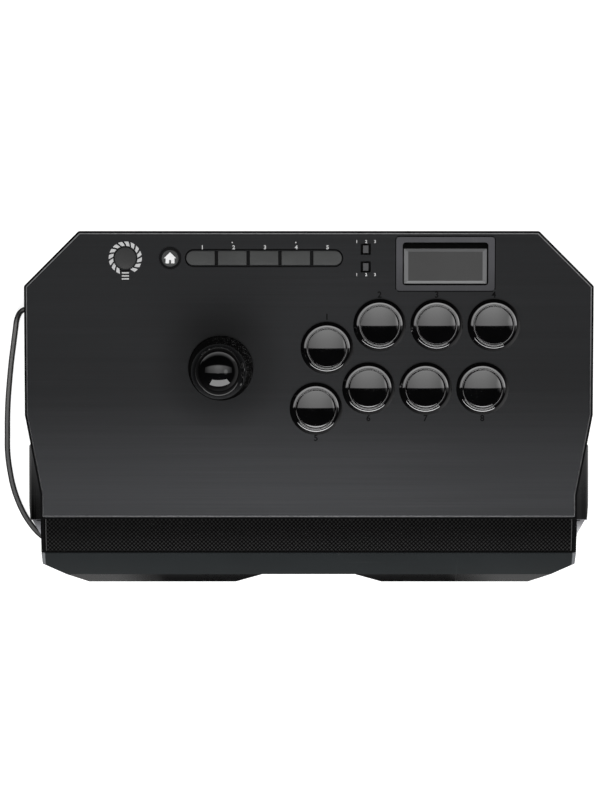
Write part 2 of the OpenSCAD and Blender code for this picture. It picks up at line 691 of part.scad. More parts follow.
module round_key(u, r, top) on_plate(u = u, v = key_v) {
    rotate_extrude() polygon([[0, key_foot - key_flange_t], [r + key_flange, key_foot - key_flange_t],
        [r + key_flange, key_foot], [r, key_foot], [r, top - key_top], [r - key_top, top], [0, top]]);
    key_tail();
}
module home_button() color([0.25, 0.25, 0.26]) round_key(home_u, home_r, key_top * 2);
module options_button() color([0.28, 0.28, 0.29]) round_key(options_u, options_r, key_top * 2);

// slide switches
slider_knob_d = 4.8;
slider_plate_t = 0.8;
slider_top = 1.2;
can_w = 11;
can_d = 6;
can_h = 3.5;
module slider(s) color([0.12, 0.12, 0.12]) on_plate(u = slide_u, v = slide_v - s * slide_pitch) {
    slab(rect(knob_w, slider_knob_d), -plate_t - slip, slider_top);
    slab(rect(window_w + 2 * slide_travel + 2 * run, window_d + 4 * run),
        -plate_t - slip - slider_plate_t, -plate_t - slip);
    slab(rect(knob_w / 2, knob_w / 2), -plate_t - slip - slider_plate_t * 2, -plate_t - slip);
}
module mode_slider() slider(0);
module stick_slider() slider(1);
tact = 6;
module key_switches() color([0.5, 0.5, 0.52]) on_plate() {
    for (u = concat(key_places, [home_u, options_u])) translate([u, key_v, 0]) {
        slab(rect(tact, tact), key_board_w + board_t, key_board_w + board_t + tact_h * 0.8);
        rod(key_stem_r, key_board_w + board_t, key_board_w + board_t + tact_h);
    }
    for (s = [0, 1]) translate([slide_u, slide_v - s * slide_pitch, 0])
        slab(rect(can_w, can_d), key_board_w + board_t, -plate_t - 2 * slip - 2 * slider_plate_t);
}
module key_board() color([0.05, 0.25, 0.12]) on_plate() {
    slab([[plate_left, key_v - key_h], [slide_u + can_w, key_v - key_h * 1.4],
        [slide_u + can_w, deck_len - rim - ledge_w - wall * 2], [plate_left, deck_len - rim - ledge_w - wall * 2]],
        key_board_w, key_board_w + board_t);
    // stand-offs up to the key plate
    for (u = [plate_left + key_plate_t, (home_u + options_u) / 2 + 1.5 * slip, plate_right - key_plate_t])
        translate([u, key_v - key_h * 0.8, 0]) rod(key_plate_t * 0.75, key_board_w + board_t, -plate_t - key_plate_t);
}

// touchpad
well_h = 6;
bezel_floor = 1.2;
bezel_rim = 4.1;
pad_gap = 0.6;
pad_t = 2.4;
module touch_bezel() color([0.35, 0.35, 0.38]) on_plate(u = touch_u, v = touch_v) difference() {
    union() {
        slab(rounded(rect(bezel_w, bezel_d), plate_r, 4), 0, bezel_h);
        slab(rounded(rect(bezel_w - 2 * bezel_lip, bezel_d - 2 * bezel_lip), plate_r * 0.8, 3), -well_h, over / 4);
    }
    slab(rounded(rect(bezel_w - 2 * bezel_rim, bezel_d - 2 * bezel_rim + bezel_lip), plate_r, 4),
        -well_h + bezel_floor, bezel_h + over);
}
pad_v = touch_v - (bezel_d - 2 * bezel_rim + bezel_lip) / 2 + pad_gap + pad_d / 2;
module touchpad() color([0.3, 0.3, 0.31]) on_plate(u = touch_u, v = pad_v) {
    slab(rounded(rect(pad_w, pad_d), plate_r / 2, 3), bezel_h - pad_t - bezel_h / 2, bezel_h / 2);
}
module touch_board() color([0.05, 0.25, 0.12]) on_plate(u = touch_u, v = pad_v) {
    slab(rect(pad_w - 2 * wall, pad_d - 2 * wall), -well_h + bezel_floor, -well_h + bezel_floor + board_t);
    for (x = [-1, 1], y = [-1, 1]) translate([x * pad_w / 3, y * pad_d / 4, 0])
        rod(key_stem_r, -well_h + bezel_floor + board_t, bezel_h / 2 - pad_t - pad_travel - slip);
}

// buttons
buttons = [for (row = [0, 1], k = [-1:2])
    [cluster_u - row * row_shift + (k < 0 ? -first_pitch : k * button_pitch),
    cluster_v - row * row_pitch - (k < 0 ? first_drop - row * first_rise : 0)]];
chamber_w = 6;
case_floor_t = 2;
stem_r = 3;
case_wall = (barrel_d - cap_d) / 2 * 0.45;
module button_cases() color([0.05, 0.05, 0.05]) for (p = buttons) on_plate(u = p[0], v = p[1])
    rotate_extrude() polygon([
        [cap_d / 2 + run, button_rim_h - 0.2 * button_rim_h], [cap_d / 2 + run + button_rim_h / 5, button_rim_h],
        [button_rim_d / 2 - button_rim_h / 2, button_rim_h * 0.93], [button_rim_d / 2, button_rim_h / 4],
        [button_rim_d / 2, 0], [barrel_d / 2, 0], [barrel_d / 2, -barrel_h],
        [stem_r + run, -barrel_h], [stem_r + run, case_floor_t - barrel_h],
        [barrel_d / 2 - case_wall, case_floor_t - barrel_h], [barrel_d / 2 - case_wall, -chamber_w],
        [cap_d / 2 + run, -chamber_w]]);
cap_h = 3.4;
cap_crown = 1.2;
cap_flange_t = 1.5;
cap_wall = 1.6;
crown_r = (cap_d * cap_d / 4 + cap_crown * cap_crown) / (2 * cap_crown);
module plunger(k) {
    p = buttons[k - 1];
    flange_r = barrel_d / 2 - case_wall - run;
    color([0.06, 0.06, 0.065]) on_plate(u = p[0], v = p[1]) {
        difference() {
            union() {
                intersection() {
                    rod(cap_d / 2, -chamber_w - cap_flange_t, cap_h + cap_crown);
                    translate([0, 0, cap_h + cap_crown - crown_r]) sphere(r = crown_r, $fn = 128);
                }
                rod(flange_r, -chamber_w - slip - cap_flange_t, -chamber_w - slip);
            }
            rod(cap_d / 2 - cap_wall, -chamber_w - cap_flange_t - over, cap_h - cap_wall);
        }
        rod(stem_r, switch_top + button_travel + slip, cap_h - cap_wall);
    }
}
switch_w = 20;
switch_d = 6.4;
switch_h = 10.2;
switch_top = -barrel_h + case_floor_t / 2;
module button_switches() color([0.12, 0.12, 0.13]) for (p = buttons) on_plate(u = p[0], v = p[1]) {
    slab(rect(switch_w, switch_d), -barrel_h - switch_h, -barrel_h);
    rod(stem_r / 2, -barrel_h, switch_top);
    for (x = [-1, 1]) translate([x * switch_w / 3, 0, 0])
        slab(rect(switch_d / 4, switch_d / 2), -barrel_h - switch_h - switch_d / 2, -barrel_h - switch_h);
}

// lever, in a frame on its axis at the top plate
stud_u = 38;
stud_v = 22;
stud_r = 2;
stud_l = 6.4;
lever_plate_w = 88;
lever_plate_d = 53;
lever_plate_t = 1.6;
body_top = -plate_t - lever_plate_t;
lever_box = 60;
lever_box_h = 21.4;
seat_r = pivot_r + 0.15;
seat_wall = 3;
throat_r = 6.2;
box_bottom = body_top - lever_box_h;
module on_lever(w = 0) on_plate(u = lever_u, v = lever_v, w = w) children();
module lever_plate() color([0.6, 0.6, 0.6]) on_lever() difference() {
    slab(rounded(rect(lever_plate_w, lever_plate_d), plate_r, 4), body_top, -plate_t);
    rod(lever_hole_d / 2, body_top - over, over);
    for (x = [-1, 1], y = [-1, 1]) translate([x * stud_u, y * stud_v, 0])
        rod(stud_r + slip, body_top - over, over);
}
nut_t = 3.2;
nut_r = 4;
module lever_nuts() color([0.65, 0.65, 0.65]) on_lever() for (x = [-1, 1], y = [-1, 1])
    translate([x * stud_u, y * stud_v, body_top - nut_t]) difference() {
        cylinder(r = nut_r, h = nut_t, $fn = 6);
        translate([0, 0, -over]) cylinder(r = stud_r + pin_fit, h = nut_t + 2 * over);
    }
module lever_housing() color([0.1, 0.1, 0.1]) on_lever() difference() {
    union() {
        difference() {
            slab(rounded(rect(lever_box, lever_box), plate_r * 1.5, 4), box_bottom, body_top);
            slab(rounded(rect(lever_box - 2 * wall, lever_box - 2 * wall), plate_r, 4),
                box_bottom - over, body_top - wall);
        }
        rod(seat_r + seat_wall, -pivot_drop - pivot_r, body_top);
        for (a = [45:90:315]) rotate([0, 0, a]) translate([seat_r, -wall / 2, -pivot_drop - pivot_r / 2])
            cube([lever_box / 2, wall, pivot_drop + pivot_r / 2 + body_top]);
    }
    translate([0, 0, -pivot_drop]) sphere(r = seat_r);
    rod(seat_r, -pivot_drop, over);
    rod(throat_r, -pivot_drop - pivot_r - over, -pivot_drop);
    // seats of the trunnions, open to the top
    translate([0, 0, -pivot_drop]) rotate([0, 90, 0])
        cylinder(r = trunnion_r + pin_fit, h = trunnion_l + 2 * run, center = true);
    translate([-trunnion_l / 2 - run, -trunnion_r - slip, -pivot_drop])
        cube([trunnion_l + 2 * run, 2 * (trunnion_r + slip), pivot_drop + over]);
}
lever_board_gap = 0;
lever_board_top = box_bottom;
lever_board_hole = 11.5;
module lever_board() color([0.05, 0.25, 0.12]) on_lever() difference() {
    slab(rounded(rect(lever_box, lever_box), plate_r, 4), lever_board_top - board_t, lever_board_top);
    rod(lever_board_hole, lever_board_top - board_t - over, lever_board_top + over);
}
lever_switch_in = 10;
lever_switch_w = 19.6;
nub = 0.5;
module lever_switches() color([0.12, 0.12, 0.13]) on_lever() for (a = [0:90:270]) rotate([0, 0, a]) {
    translate([lever_switch_in, -lever_switch_w / 2, lever_board_top - board_t - switch_d])
        cube([switch_h, lever_switch_w, switch_d]);
    translate([lever_switch_in - nub, -nub, lever_board_top - board_t - switch_d / 2 - nub])
        cube([nub, 2 * nub, 2 * nub]);
}
gate_top = lever_board_top - board_t - switch_d - 1;
gate_t = 1.9;
gate_w = 46;
gate_half = 7.9;
gate_post = 9;
module lever_gate() color([0.35, 0.35, 0.36]) on_lever() {
    difference() {
        slab(rounded(rect(gate_w, gate_w), plate_r, 4), gate_top - gate_t, gate_top);
        slab(rounded(rect(2 * gate_half, 2 * gate_half), plate_r / 2, 3), gate_top - gate_t - over, gate_top + over);
    }
    for (x = [-1, 1], y = [-1, 1]) translate([x * (gate_w - gate_post) / 2, y * (gate_w - gate_post) / 2, 0])
        slab(rect(gate_post, gate_post), gate_top, lever_board_top - board_t);
}
pin_r = 1.5;
pin_l = 12;
slot_run = pivot_r * tan(lever_tilt) + run;
trunnion_r = 2;
trunnion_l = 2 * seat_r + seat_wall;
module lever_pivot() color([0.85, 0.85, 0.83]) on_lever(w = -pivot_drop) difference() {
    union() {
        sphere(r = pivot_r);
        rotate([0, 90, 0]) cylinder(r = trunnion_r, h = trunnion_l, center = true);
    }
    translate([-shaft_d / 2 - slot_run, -shaft_d / 2 - pin_fit, -pivot_r * 2])
        cube([shaft_d + 2 * slot_run, shaft_d + 2 * pin_fit, pivot_r * 4]);
    rotate([90, 0, 0]) cylinder(r = pin_r + pin_fit, h = pivot_r * 4, center = true);
}
shaft_low = -35.6;
thread_r = 3;
thread_w = ball_w - ball_d * 0.43;
clip_w = -33.8;
clip_t = 0.8;
clip_r = 5.5;
groove_r = 3.2;
module lever_shaft() color([0.75, 0.75, 0.76]) on_lever() {
    difference() {
        union() {
            rod(shaft_d / 2, shaft_low, thread_w);
            rod(thread_r, thread_w - over, ball_w - ball_d / 8);
            translate([0, 0, -pivot_drop]) rotate([90, 0, 0]) cylinder(r = pin_r, h = pin_l, center = true);
        }
        translate([0, 0, clip_w - clip_t / 2]) difference() {
            cylinder(r = shaft_d, h = clip_t);
            cylinder(r = groove_r, h = clip_t);
        }
    }
}
module ball_top() color([0.03, 0.03, 0.03]) on_lever() difference() {
    translate([0, 0, ball_w]) sphere(r = ball_d / 2, $fn = 128);
    translate([-ball_d, -ball_d, ball_w - ball_d * 1.47]) cube([ball_d * 2, ball_d * 2, ball_d]);
    rod(thread_r, ball_w - ball_d, ball_w - ball_d / 8);
    rod(shaft_d / 2, ball_w - ball_d, thread_w);
}
cover_low = -3;
module shaft_cover() color([0.08, 0.08, 0.08]) on_lever() difference() {
    rod(cover_d / 2, cover_low, ball_w - ball_d * 0.47);
    rod(shaft_d / 2, cover_low - over, ball_w);
}
glide_t = 0.6;
glide_d = washer_d * 0.86;
panel_arm = pivot_drop + glide_t + washer_t / 2;
washer_run = panel_arm * lever_tilt * PI / 180;
module dust_washer() color([0.05, 0.05, 0.05]) on_lever() difference() {
    rotate_extrude() polygon([[0, glide_t + slip / 2], [washer_d / 2, glide_t + slip / 2],
        [washer_d / 2, glide_t + washer_t * 0.5], [washer_d / 2 - washer_t / 2, glide_t + washer_t], [0, glide_t + washer_t]]);
    rod(cover_d / 2 + 2 * run, -over, over * 3);
}
module washer_glide() color([0.04, 0.04, 0.04]) on_lever() difference() {
    rod(glide_d / 2, slip / 2, glide_t);
    slab(rounded(rect(cover_d + 4 * run + 2 * washer_run, cover_d + 4 * run), cover_d / 2, 8), -over, over);
}
actuator_r = 5.4;
actuator_h = 5;
spring_seat_r = 7;
spring_seat_t = 1;
actuator_low = clip_w + clip_t / 2 + slip;
module lever_actuator() color([0.8, 0.8, 0.78]) on_lever() difference() {
    union() {
        rod(actuator_r, actuator_low, actuator_low + actuator_h);
        rod(spring_seat_r, actuator_low + actuator_h, actuator_low + actuator_h + spring_seat_t);
    }
    rod(shaft_d / 2, actuator_low - over, 0);
}
module lever_clip() color([0.5, 0.5, 0.5]) on_lever() difference() {
    rod(clip_r, clip_w - clip_t / 2, clip_w + clip_t / 2);
    rod(groove_r, clip_w - over, clip_w + over);
    translate([groove_r * 0.2, -groove_r * 0.8, clip_w - over]) cube([clip_r * 2, groove_r * 1.6, over * 2]);
}
spring_wire = 1;
spring_turns = 4;
spring_r = 6.9;
spring_top = -pivot_drop - pivot_r - spring_wire / 2;
spring_low = actuator_low + actuator_h + spring_seat_t + spring_wire / 2 + slip;
function spring_path() = [for (k = [0:8 * spring_turns])
    [spring_r * cos(k * 45), spring_r * sin(k * 45), spring_low + (spring_top - spring_low) * k / (8 * spring_turns)]];
module lever_spring() color([0.6, 0.6, 0.62]) on_lever() tube(spring_path(), spring_wire / 2, 6);

// a tube swept along points, with flat ends
function tangent(p, i) = let (n = len(p) - 1)
    dir(p[max(i - 1, 0)], p[min(i + 1, n)]);
function ring(c, t, r, sides) =
    let (side = norm([t[0], t[1]]) < 0.01 ? [1, 0, 0] : [-t[1], t[0], 0] / norm([t[0], t[1]]))
    let (up = cross(t, side))
    [for (s = [0:sides - 1]) c + r * (cos(s * 360 / sides) * side + sin(s * 360 / sides) * up)];
module tube(p, r, sides) {
    n = len(p);
    points = [for (i = [0:n - 1]) each ring(p[i], tangent(p, i), r, sides)];
    faces = concat(
        [[for (s = [0:sides - 1]) s]],
        [for (i = [0:n - 2], s = [0:sides - 1]) each let (a = i * sides + s, b = i * sides + (s + 1) % sides)
            [[a, a + sides, b + sides], [a, b + sides, b]]],
        [[for (s = [sides - 1:-1:0]) (n - 1) * sides + s]]);
    polyhedron(points, faces);
}

// cord
gland_neck_r = 3;
gland_flange_r = 5;
gland_flange_t = 1.5;
cord_r = cord_d / 2;
gland_tip = -base_w / 2 - gland_flange_t - gland_l;
module cord_gland() color([0.06, 0.06, 0.06]) translate([-base_w / 2, gland_y, gland_z]) rotate([0, -90, 0])
    rotate_extrude() polygon([[0, -wall * 1.6], [gland_neck_r, -wall * 1.6], [gland_neck_r, 0],
        [gland_flange_r, 0], [gland_flange_r, gland_flange_t], [gland_neck_r, gland_flange_t],
        [cord_r + slip * 3, gland_flange_t + gland_l], [0, gland_flange_t + gland_l]]);
// route of the cord from the gland to the coil
cord_route = [
    [-176.5, 66, 12], [-180, 66, 12], [-184, 66, 11.6], [-187.5, 65.6, 10.4], [-190.4, 64.2, 8.3],
    [-192.4, 61.6, 5.8], [-193.8, 58, 3.6], [-194.6, 53, 2.3], [-195.4, 47, 1.9], [-196.3, 40, 1.9],
    [-197.3, 32, 1.9], [-198.1, 24, 1.9], [-198.8, 16, 1.9], [-199.4, 8, 1.9], [-199.8, 0, 1.9],
    [-200, -8, 1.9], [-200, -17, 1.9], [-200, -26, 1.9], [-199.4, -34, 1.9], [-198.2, -42, 1.9],
    [-196.6, -50, 1.9], [-194.2, -58, 1.9], [-190.9, -66, 1.9], [-186.4, -74, 1.9], [-180, -82, 1.9],
    [-172, -88, 1.9], [-163, -91.5, 1.9], [-153, -92.4, 1.9], [-143, -91, 1.9], [-132, -86.5, 1.9],
    [-121, -79.5, 1.9], [-110, -71, 1.9], [-99, -62, 1.9], [-88, -53, 1.9], [-77, -44.5, 1.9],
    [-66, -37.5, 1.9], [-54, -32.5, 1.9], [-42, -30.4, 1.9], [-30, -30, 1.9], [-18, -30, 1.9]];
// the coil: four layers that wind in and out
coil_x = -8;
coil_y = -61;
coil_out = 31;
coil_turns = 20.75;
coil_step = 4.4;
coil_rise = 4.3;
coil_layer = coil_turns / 4;
coil_rings = 24;
function coil_u(t) = let (m = t % (2 * coil_layer)) m < coil_layer ? m : 2 * coil_layer - m;
function coil_up(t) = let (f = floor((t + 0.25) / coil_layer), m = t + 0.25 - f * coil_layer)
    f < 1 ? 0 : f - 1 + min(m / 0.5, 1);
function coil_point(t) = let (r = coil_out - coil_step * coil_u(t), a = 90 - 360 * t)
    [coil_x + r * cos(a), coil_y + r * sin(a), cord_r + coil_rise * coil_up(t)];
coil_steps = floor(coil_turns * coil_rings);
coil_start = [[-18, -30, cord_r], [-12, -30, cord_r]];
coil_end = [[-39, -58, cord_r + 3 * coil_rise], [-39, -54, cord_r + 3 * coil_rise]];
coil_route = concat(coil_start, [for (k = [1:coil_steps - 1]) coil_point(k / coil_rings)], coil_end);
// the short tail from the coil to the plug
tail_route = [
    [-39, -54, 14.8], [-39, -50, 14.6], [-38.8, -44, 13.4], [-38, -38, 11.2], [-36.4, -32, 8.8],
    [-33.4, -26.5, 6.7], [-28.8, -22, 5.2], [-23, -19.2, 4.3], [-17, -18.1, 4], [-10, -18, 4]];
module cord_run() color([0.1, 0.1, 0.1]) {
    tube(cord_route, cord_r, 8);
    tube(tail_route, cord_r, 8);
}
module cord_coil() color([0.1, 0.1, 0.1]) tube(coil_route, cord_r, 6);
plug_x = -10;
plug_y = -18;
plug_z = 4;
plug_w = 15.6;
plug_t = 7.6;
plug_l = 24;
plug_neck = 6;
shell_w = 12;
shell_t = 4.5;
shell_l = 14;
shell_wall = 0.4;
module usb_plug() color([0.1, 0.1, 0.1]) translate([plug_x, plug_y, plug_z]) rotate([90, 0, 90]) {
    rod(cord_r + slip, 0, plug_neck);
    slab(rounded(rect(plug_w, plug_t), plug_t / 4, 4), plug_neck, plug_neck + plug_l);
    difference() {
        slab(rect(shell_w, shell_t), plug_neck + plug_l, plug_neck + plug_l + shell_l);
        translate([0, shell_t / 5, 0]) slab(rect(shell_w - 2 * shell_wall, shell_t * 0.5),
            plug_neck + plug_l + wall, plug_neck + plug_l + shell_l + over);
    }
}

// shortest distance between turns of a wound tube, at least half a turn apart
function least_gap(p, per, d) = min([for (i = [0:2:len(p) - 1], j = [i + per / 2:len(p) - 1]) norm(p[i] - p[j])]) - d;
function path_length(p) = len(p) < 2 ? 0 : [for (i = 0, s = 0; i < len(p); s = i + 1 < len(p) ? s + norm(p[i + 1] - p[i]) : s, i = i + 1) s][len(p) - 1];
echo(coil_gap = least_gap(coil_route, coil_rings, cord_d));  // cord_coil
echo(cord_length = path_length(cord_route) + path_length(coil_route) + path_length(tail_route));  // cord_coil
echo(spring_gap = least_gap(spring_path(), 8, spring_wire));  // lever_spring

base_shell();
upper_shell();
top_panel();
palm_rest();
front_bar();
rubber_feet();
base_screws();
headset_socket();
main_board();
board_screws();
key_bezel();
key_board();
key_switches();
touch_bezel();
touch_board();
lever_plate();
lever_nuts();
lever_housing();
lever_board();
lever_switches();
lever_gate();
button_cases();
button_switches();
cord_gland();
cord_run();
cord_coil();
usb_plug();
plunger(1);  // plunger_1
plunger(2);  // plunger_2
plunger(3);  // plunger_3
plunger(4);  // plunger_4
plunger(5);  // plunger_5
plunger(6);  // plunger_6
plunger(7);  // plunger_7
plunger(8);  // plunger_8
home_button();
options_button();
function_key(-2);  // function_key_1
function_key(-1);  // function_key_2
function_key(0);  // function_key_3
function_key(1);  // function_key_4
function_key(2);  // function_key_5
touchpad();
mode_slider();
stick_slider();
lever_pivot();
lever_shaft();
ball_top();
shaft_cover();
dust_washer();
washer_glide();
lever_spring();
lever_actuator();
lever_clip();
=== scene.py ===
import json
import math
import bpy
import bmesh
from mathutils import Matrix, Vector


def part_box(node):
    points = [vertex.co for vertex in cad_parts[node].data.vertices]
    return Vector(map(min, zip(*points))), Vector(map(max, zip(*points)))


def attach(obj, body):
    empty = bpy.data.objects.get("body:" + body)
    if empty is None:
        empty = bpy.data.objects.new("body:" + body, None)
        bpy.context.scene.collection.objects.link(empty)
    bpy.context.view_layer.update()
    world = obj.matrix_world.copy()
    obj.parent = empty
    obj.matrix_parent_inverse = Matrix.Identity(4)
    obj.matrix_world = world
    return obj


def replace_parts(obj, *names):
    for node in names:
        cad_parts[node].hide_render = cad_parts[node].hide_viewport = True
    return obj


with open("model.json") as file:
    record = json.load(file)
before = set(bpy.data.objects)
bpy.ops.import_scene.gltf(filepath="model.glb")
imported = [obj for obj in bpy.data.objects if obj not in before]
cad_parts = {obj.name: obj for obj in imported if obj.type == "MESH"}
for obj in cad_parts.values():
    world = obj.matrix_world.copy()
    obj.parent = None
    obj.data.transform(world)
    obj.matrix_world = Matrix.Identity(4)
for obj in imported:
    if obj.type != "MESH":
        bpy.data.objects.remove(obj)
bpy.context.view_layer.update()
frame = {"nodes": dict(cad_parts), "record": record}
NODES = frame["nodes"]
SCENE = bpy.context.scene
SCENE.view_settings.view_transform = "Standard"

# the scene is in metres, and sizes are written in mm
MM = 0.001
SLOPE = math.radians(4)
# where the top plate's front edge lies
PLATE_Y = -70.7 * MM
PLATE_Z = 40 * MM
# the top plate's own frame: u across, v up the slope, w out of the plate
PLATE = Matrix.Translation((0, PLATE_Y, PLATE_Z)) @ Matrix.Rotation(SLOPE, 4, "X")


def plate_box(node):
    """The lowest and highest u, v and w of a CAD node, in mm."""
    places = [PLATE.inverted() @ v.co / MM for v in NODES[node].data.vertices]
    return [[pick(q[k] for q in places) for k in range(3)] for pick in (min, max)]


def middle(node):
    """The u and v of a CAD node's middle, to a hundredth of a mm."""
    low, high = plate_box(node)
    return [round((low[k] + high[k]) / 2, 2) for k in range(2)]


# places of the parts on the plate, in mm
BUTTONS = [middle("plunger_%d" % k) for k in range(1, 9)]
KEYS = [middle("function_key_%d" % k) for k in range(1, 6)]
KEY_V = KEYS[0][1]
OPTIONS_U = middle("options_button")[0]

# places that materials need, in metres
KEY_Y = (PLATE @ Vector((0, KEY_V * MM, 0))).y
LEVER_X, LEVER_Y = [(a + b) / 2 for a, b in zip(*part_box("dust_washer"))][:2]


# camera, straight above
lens = bpy.data.cameras.new("camera")
lens.lens = 118.17
lens.sensor_width = 36
lens.clip_start = 0.05
lens.clip_end = 80
camera = bpy.data.objects.new("camera", lens)
camera.location = (-0.0057, 0.00568, 1.746)
SCENE.collection.objects.link(camera)
SCENE.camera = camera


# arithmetic of the materials
class Num:
    """A number in a node tree, with arithmetic that makes Math nodes."""

    def __init__(self, tree, value):
        self.tree = tree
        self.value = value

    def op(self, name, *others):
        node = self.tree.nodes.new("ShaderNodeMath")
        node.operation = name
        for socket, value in zip(node.inputs, (self,) + others):
            put(self.tree, socket, value)
        return Num(self.tree, node.outputs[0])

    def __add__(self, other):
        return self.op("ADD", other)

    def __sub__(self, other):
        return self.op("SUBTRACT", other)

    def __mul__(self, other):
        return self.op("MULTIPLY", other)

    def __truediv__(self, other):
        return self.op("DIVIDE", other)

    def abs(self):
        return self.op("ABSOLUTE")

    def min(self, other):
        return self.op("MINIMUM", other)

    def max(self, other):
        return self.op("MAXIMUM", other)

    def sin(self):
        return self.op("SINE")

    def fract(self):
        return self.op("FRACT")

    def rest(self):
        """What is missing to 1."""
        return self * -1.0 + 1.0

    def over(self, low, high):
        """0 below low and 1 above high, smooth between them; falls where low is above high."""
        node = self.tree.nodes.new("ShaderNodeMapRange")
        node.interpolation_type = "SMOOTHSTEP"
        put(self.tree, node.inputs[0], self)
        ends = (0, 1) if low < high else (1, 0)
        for socket, value in zip(node.inputs[1:5], (min(low, high), max(low, high), *ends)):
            socket.default_value = value
        return Num(self.tree, node.outputs[0])


def put(tree, socket, value):
    """Links a number or an output to a socket, or sets the socket to a plain value."""
    if isinstance(value, Num):
        tree.links.new(value.value, socket)
    elif hasattr(value, "default_value"):
        tree.links.new(value, socket)
    elif hasattr(value, "__len__") and len(value) == 3 and len(socket.default_value) == 4:
        socket.default_value = (*value, 1)
    else:
        socket.default_value = value


def coords(tree, scale=(1, 1, 1), turn=(0, 0, 0), kind="Object"):
    source = tree.nodes.new("ShaderNodeTexCoord")
    mapping = tree.nodes.new("ShaderNodeMapping")
    tree.links.new(source.outputs[kind], mapping.inputs[0])
    mapping.inputs["Rotation"].default_value = turn
    mapping.inputs["Scale"].default_value = scale
    return mapping.outputs[0]


def axes(tree, vector=None):
    node = tree.nodes.new("ShaderNodeSeparateXYZ")
    tree.links.new(vector or coords(tree), node.inputs[0])
    return [Num(tree, output) for output in node.outputs]


def plate_height(tree):
    """Height out of the top plate, in metres."""
    y, z = axes(tree)[1:]
    return (z - PLATE_Z) * math.cos(SLOPE) - (y - PLATE_Y) * math.sin(SLOPE)


def noise(tree, scale, detail=2.0, rough=0.5, vector=None):
    node = tree.nodes.new("ShaderNodeTexNoise")
    tree.links.new(vector or coords(tree), node.inputs["Vector"])
    node.inputs["Scale"].default_value = scale
    node.inputs["Detail"].default_value = detail
    node.inputs["Roughness"].default_value = rough
    return Num(tree, node.outputs[0])


def cells(tree, scale, vector=None, output="Distance"):
    node = tree.nodes.new("ShaderNodeTexVoronoi")
    tree.links.new(vector or coords(tree), node.inputs["Vector"])
    node.inputs["Scale"].default_value = scale
    return Num(tree, node.outputs[output])


def mix(tree, share, a, b):
    """The colour a where share is 0 and b where it is 1."""
    node = tree.nodes.new("ShaderNodeMix")
    node.data_type = "RGBA"
    put(tree, node.inputs[0], share)
    put(tree, node.inputs[6], a)
    put(tree, node.inputs[7], b)
    return node.outputs[2]


def grey(level):
    return (level, level, level)


def shade(colour, k):
    return tuple(c * k for c in colour)


def clouded(tree, cloud, colour, spread, low=0.25):
    """A colour made darker and paler by the share spread, as cloud goes."""
    return mix(tree, cloud.over(low, 1 - low), shade(colour, 1 - spread), shade(colour, 1 + spread))


# materials by name
MATERIALS = {}
DUST = grey(0.3)


def principled(name, colour, **sockets):
    """A new material with one Principled shader. Returns its tree and the shader."""
    material = bpy.data.materials.new(name)
    material.use_nodes = True
    material.diffuse_color = (*colour, 1)
    MATERIALS[name] = material
    tree = material.node_tree
    tree.nodes.clear()
    out = tree.nodes.new("ShaderNodeOutputMaterial")
    shader = tree.nodes.new("ShaderNodeBsdfPrincipled")
    tree.links.new(shader.outputs[0], out.inputs[0])
    put(tree, shader.inputs["Base Color"], colour)
    for socket, value in sockets.items():
        put(tree, shader.inputs[socket.replace("_", " ")], value)
    return tree, shader


def cover(tree, shader, colour, rough, relief, depth):
    """Gives a shader its colour, its roughness and a relief of depth mm."""
    bump = tree.nodes.new("ShaderNodeBump")
    bump.inputs["Distance"].default_value = depth * MM
    put(tree, bump.inputs["Height"], relief)
    put(tree, shader.inputs["Base Color"], colour)
    put(tree, shader.inputs["Roughness"], rough)
    put(tree, shader.inputs["Normal"], bump.outputs[0])


def scratches(tree, turn=0.4, pitch=1.5, amount=0.62):
    """Fine hairline scratches in patches, as a mask."""
    along = coords(tree, (14 / pitch, 1500 / pitch, 14 / pitch), (0.2, 0.1, turn))
    across = coords(tree, (1300 / pitch, 11 / pitch, 12 / pitch), (0.1, 0.3, turn + 0.5))
    first = noise(tree, 1.0, 1.5, 0.5, along).over(amount + 0.06, amount + 0.1)
    second = noise(tree, 1.0, 1.5, 0.5, across).over(amount + 0.07, amount + 0.11)
    return first.max(second) * noise(tree, 22.0).over(0.5, 0.66)


def moulded(name, colour, rough, grain=0.5, depth=0.02, vary=0.12, wear=0.25, **sockets):
    """Moulded plastic or rubber: spark-eroded grain, cloudy gloss, a little dust and hairline scratches."""
    sockets.setdefault("Specular_IOR_Level", 0.18)
    tree, shader = principled(name, colour, **sockets)
    fine = noise(tree, 1000 / grain, 3.0, 0.62)
    cloud = noise(tree, 34.0, 4.0, 0.55)
    dust = cells(tree, 420.0).over(0.16, 0.07) * noise(tree, 60.0).over(0.52, 0.7)
    lines = scratches(tree)
    body = clouded(tree, cloud, colour, vary)
    body = mix(tree, fine.over(0.3, 0.7) * 0.35, body, shade(colour, 1 + 2 * vary))
    body = mix(tree, dust * 0.16 * wear + lines * 0.1 * wear, body, (0.32, 0.31, 0.3))
    rough = (cloud - 0.5) * 0.16 + fine * 0.08 + (rough - 0.04) + lines * 0.12 * wear
    cover(tree, shader, body, rough, fine + cells(tree, 700 / grain) * 0.5, depth)


def glossy(name, colour, rough, wear, **sockets):
    """High gloss injection moulding: a very smooth skin with faint flow waves, hairlines and dust."""
    sockets.setdefault("Specular_IOR_Level", 0.95)
    tree, shader = principled(name, colour, Coat_Weight=1.0, Coat_Roughness=0.025, **sockets)
    cloud = noise(tree, 90.0, 3.0)
    lines = scratches(tree, 0.9, 1.1, 0.6)
    dust = cells(tree, 650.0).over(0.12, 0.05) * noise(tree, 90.0).over(0.5, 0.66)
    body = clouded(tree, cloud, colour, 0.2, 0.3)
    body = mix(tree, dust * 0.2 * wear + lines * 0.05 * wear, body, DUST)
    rough = (cloud - 0.5) * 0.05 + rough + lines * 0.14 * wear + dust * 0.3
    cover(tree, shader, body, rough, noise(tree, 160.0, 1.0), 0.0014)


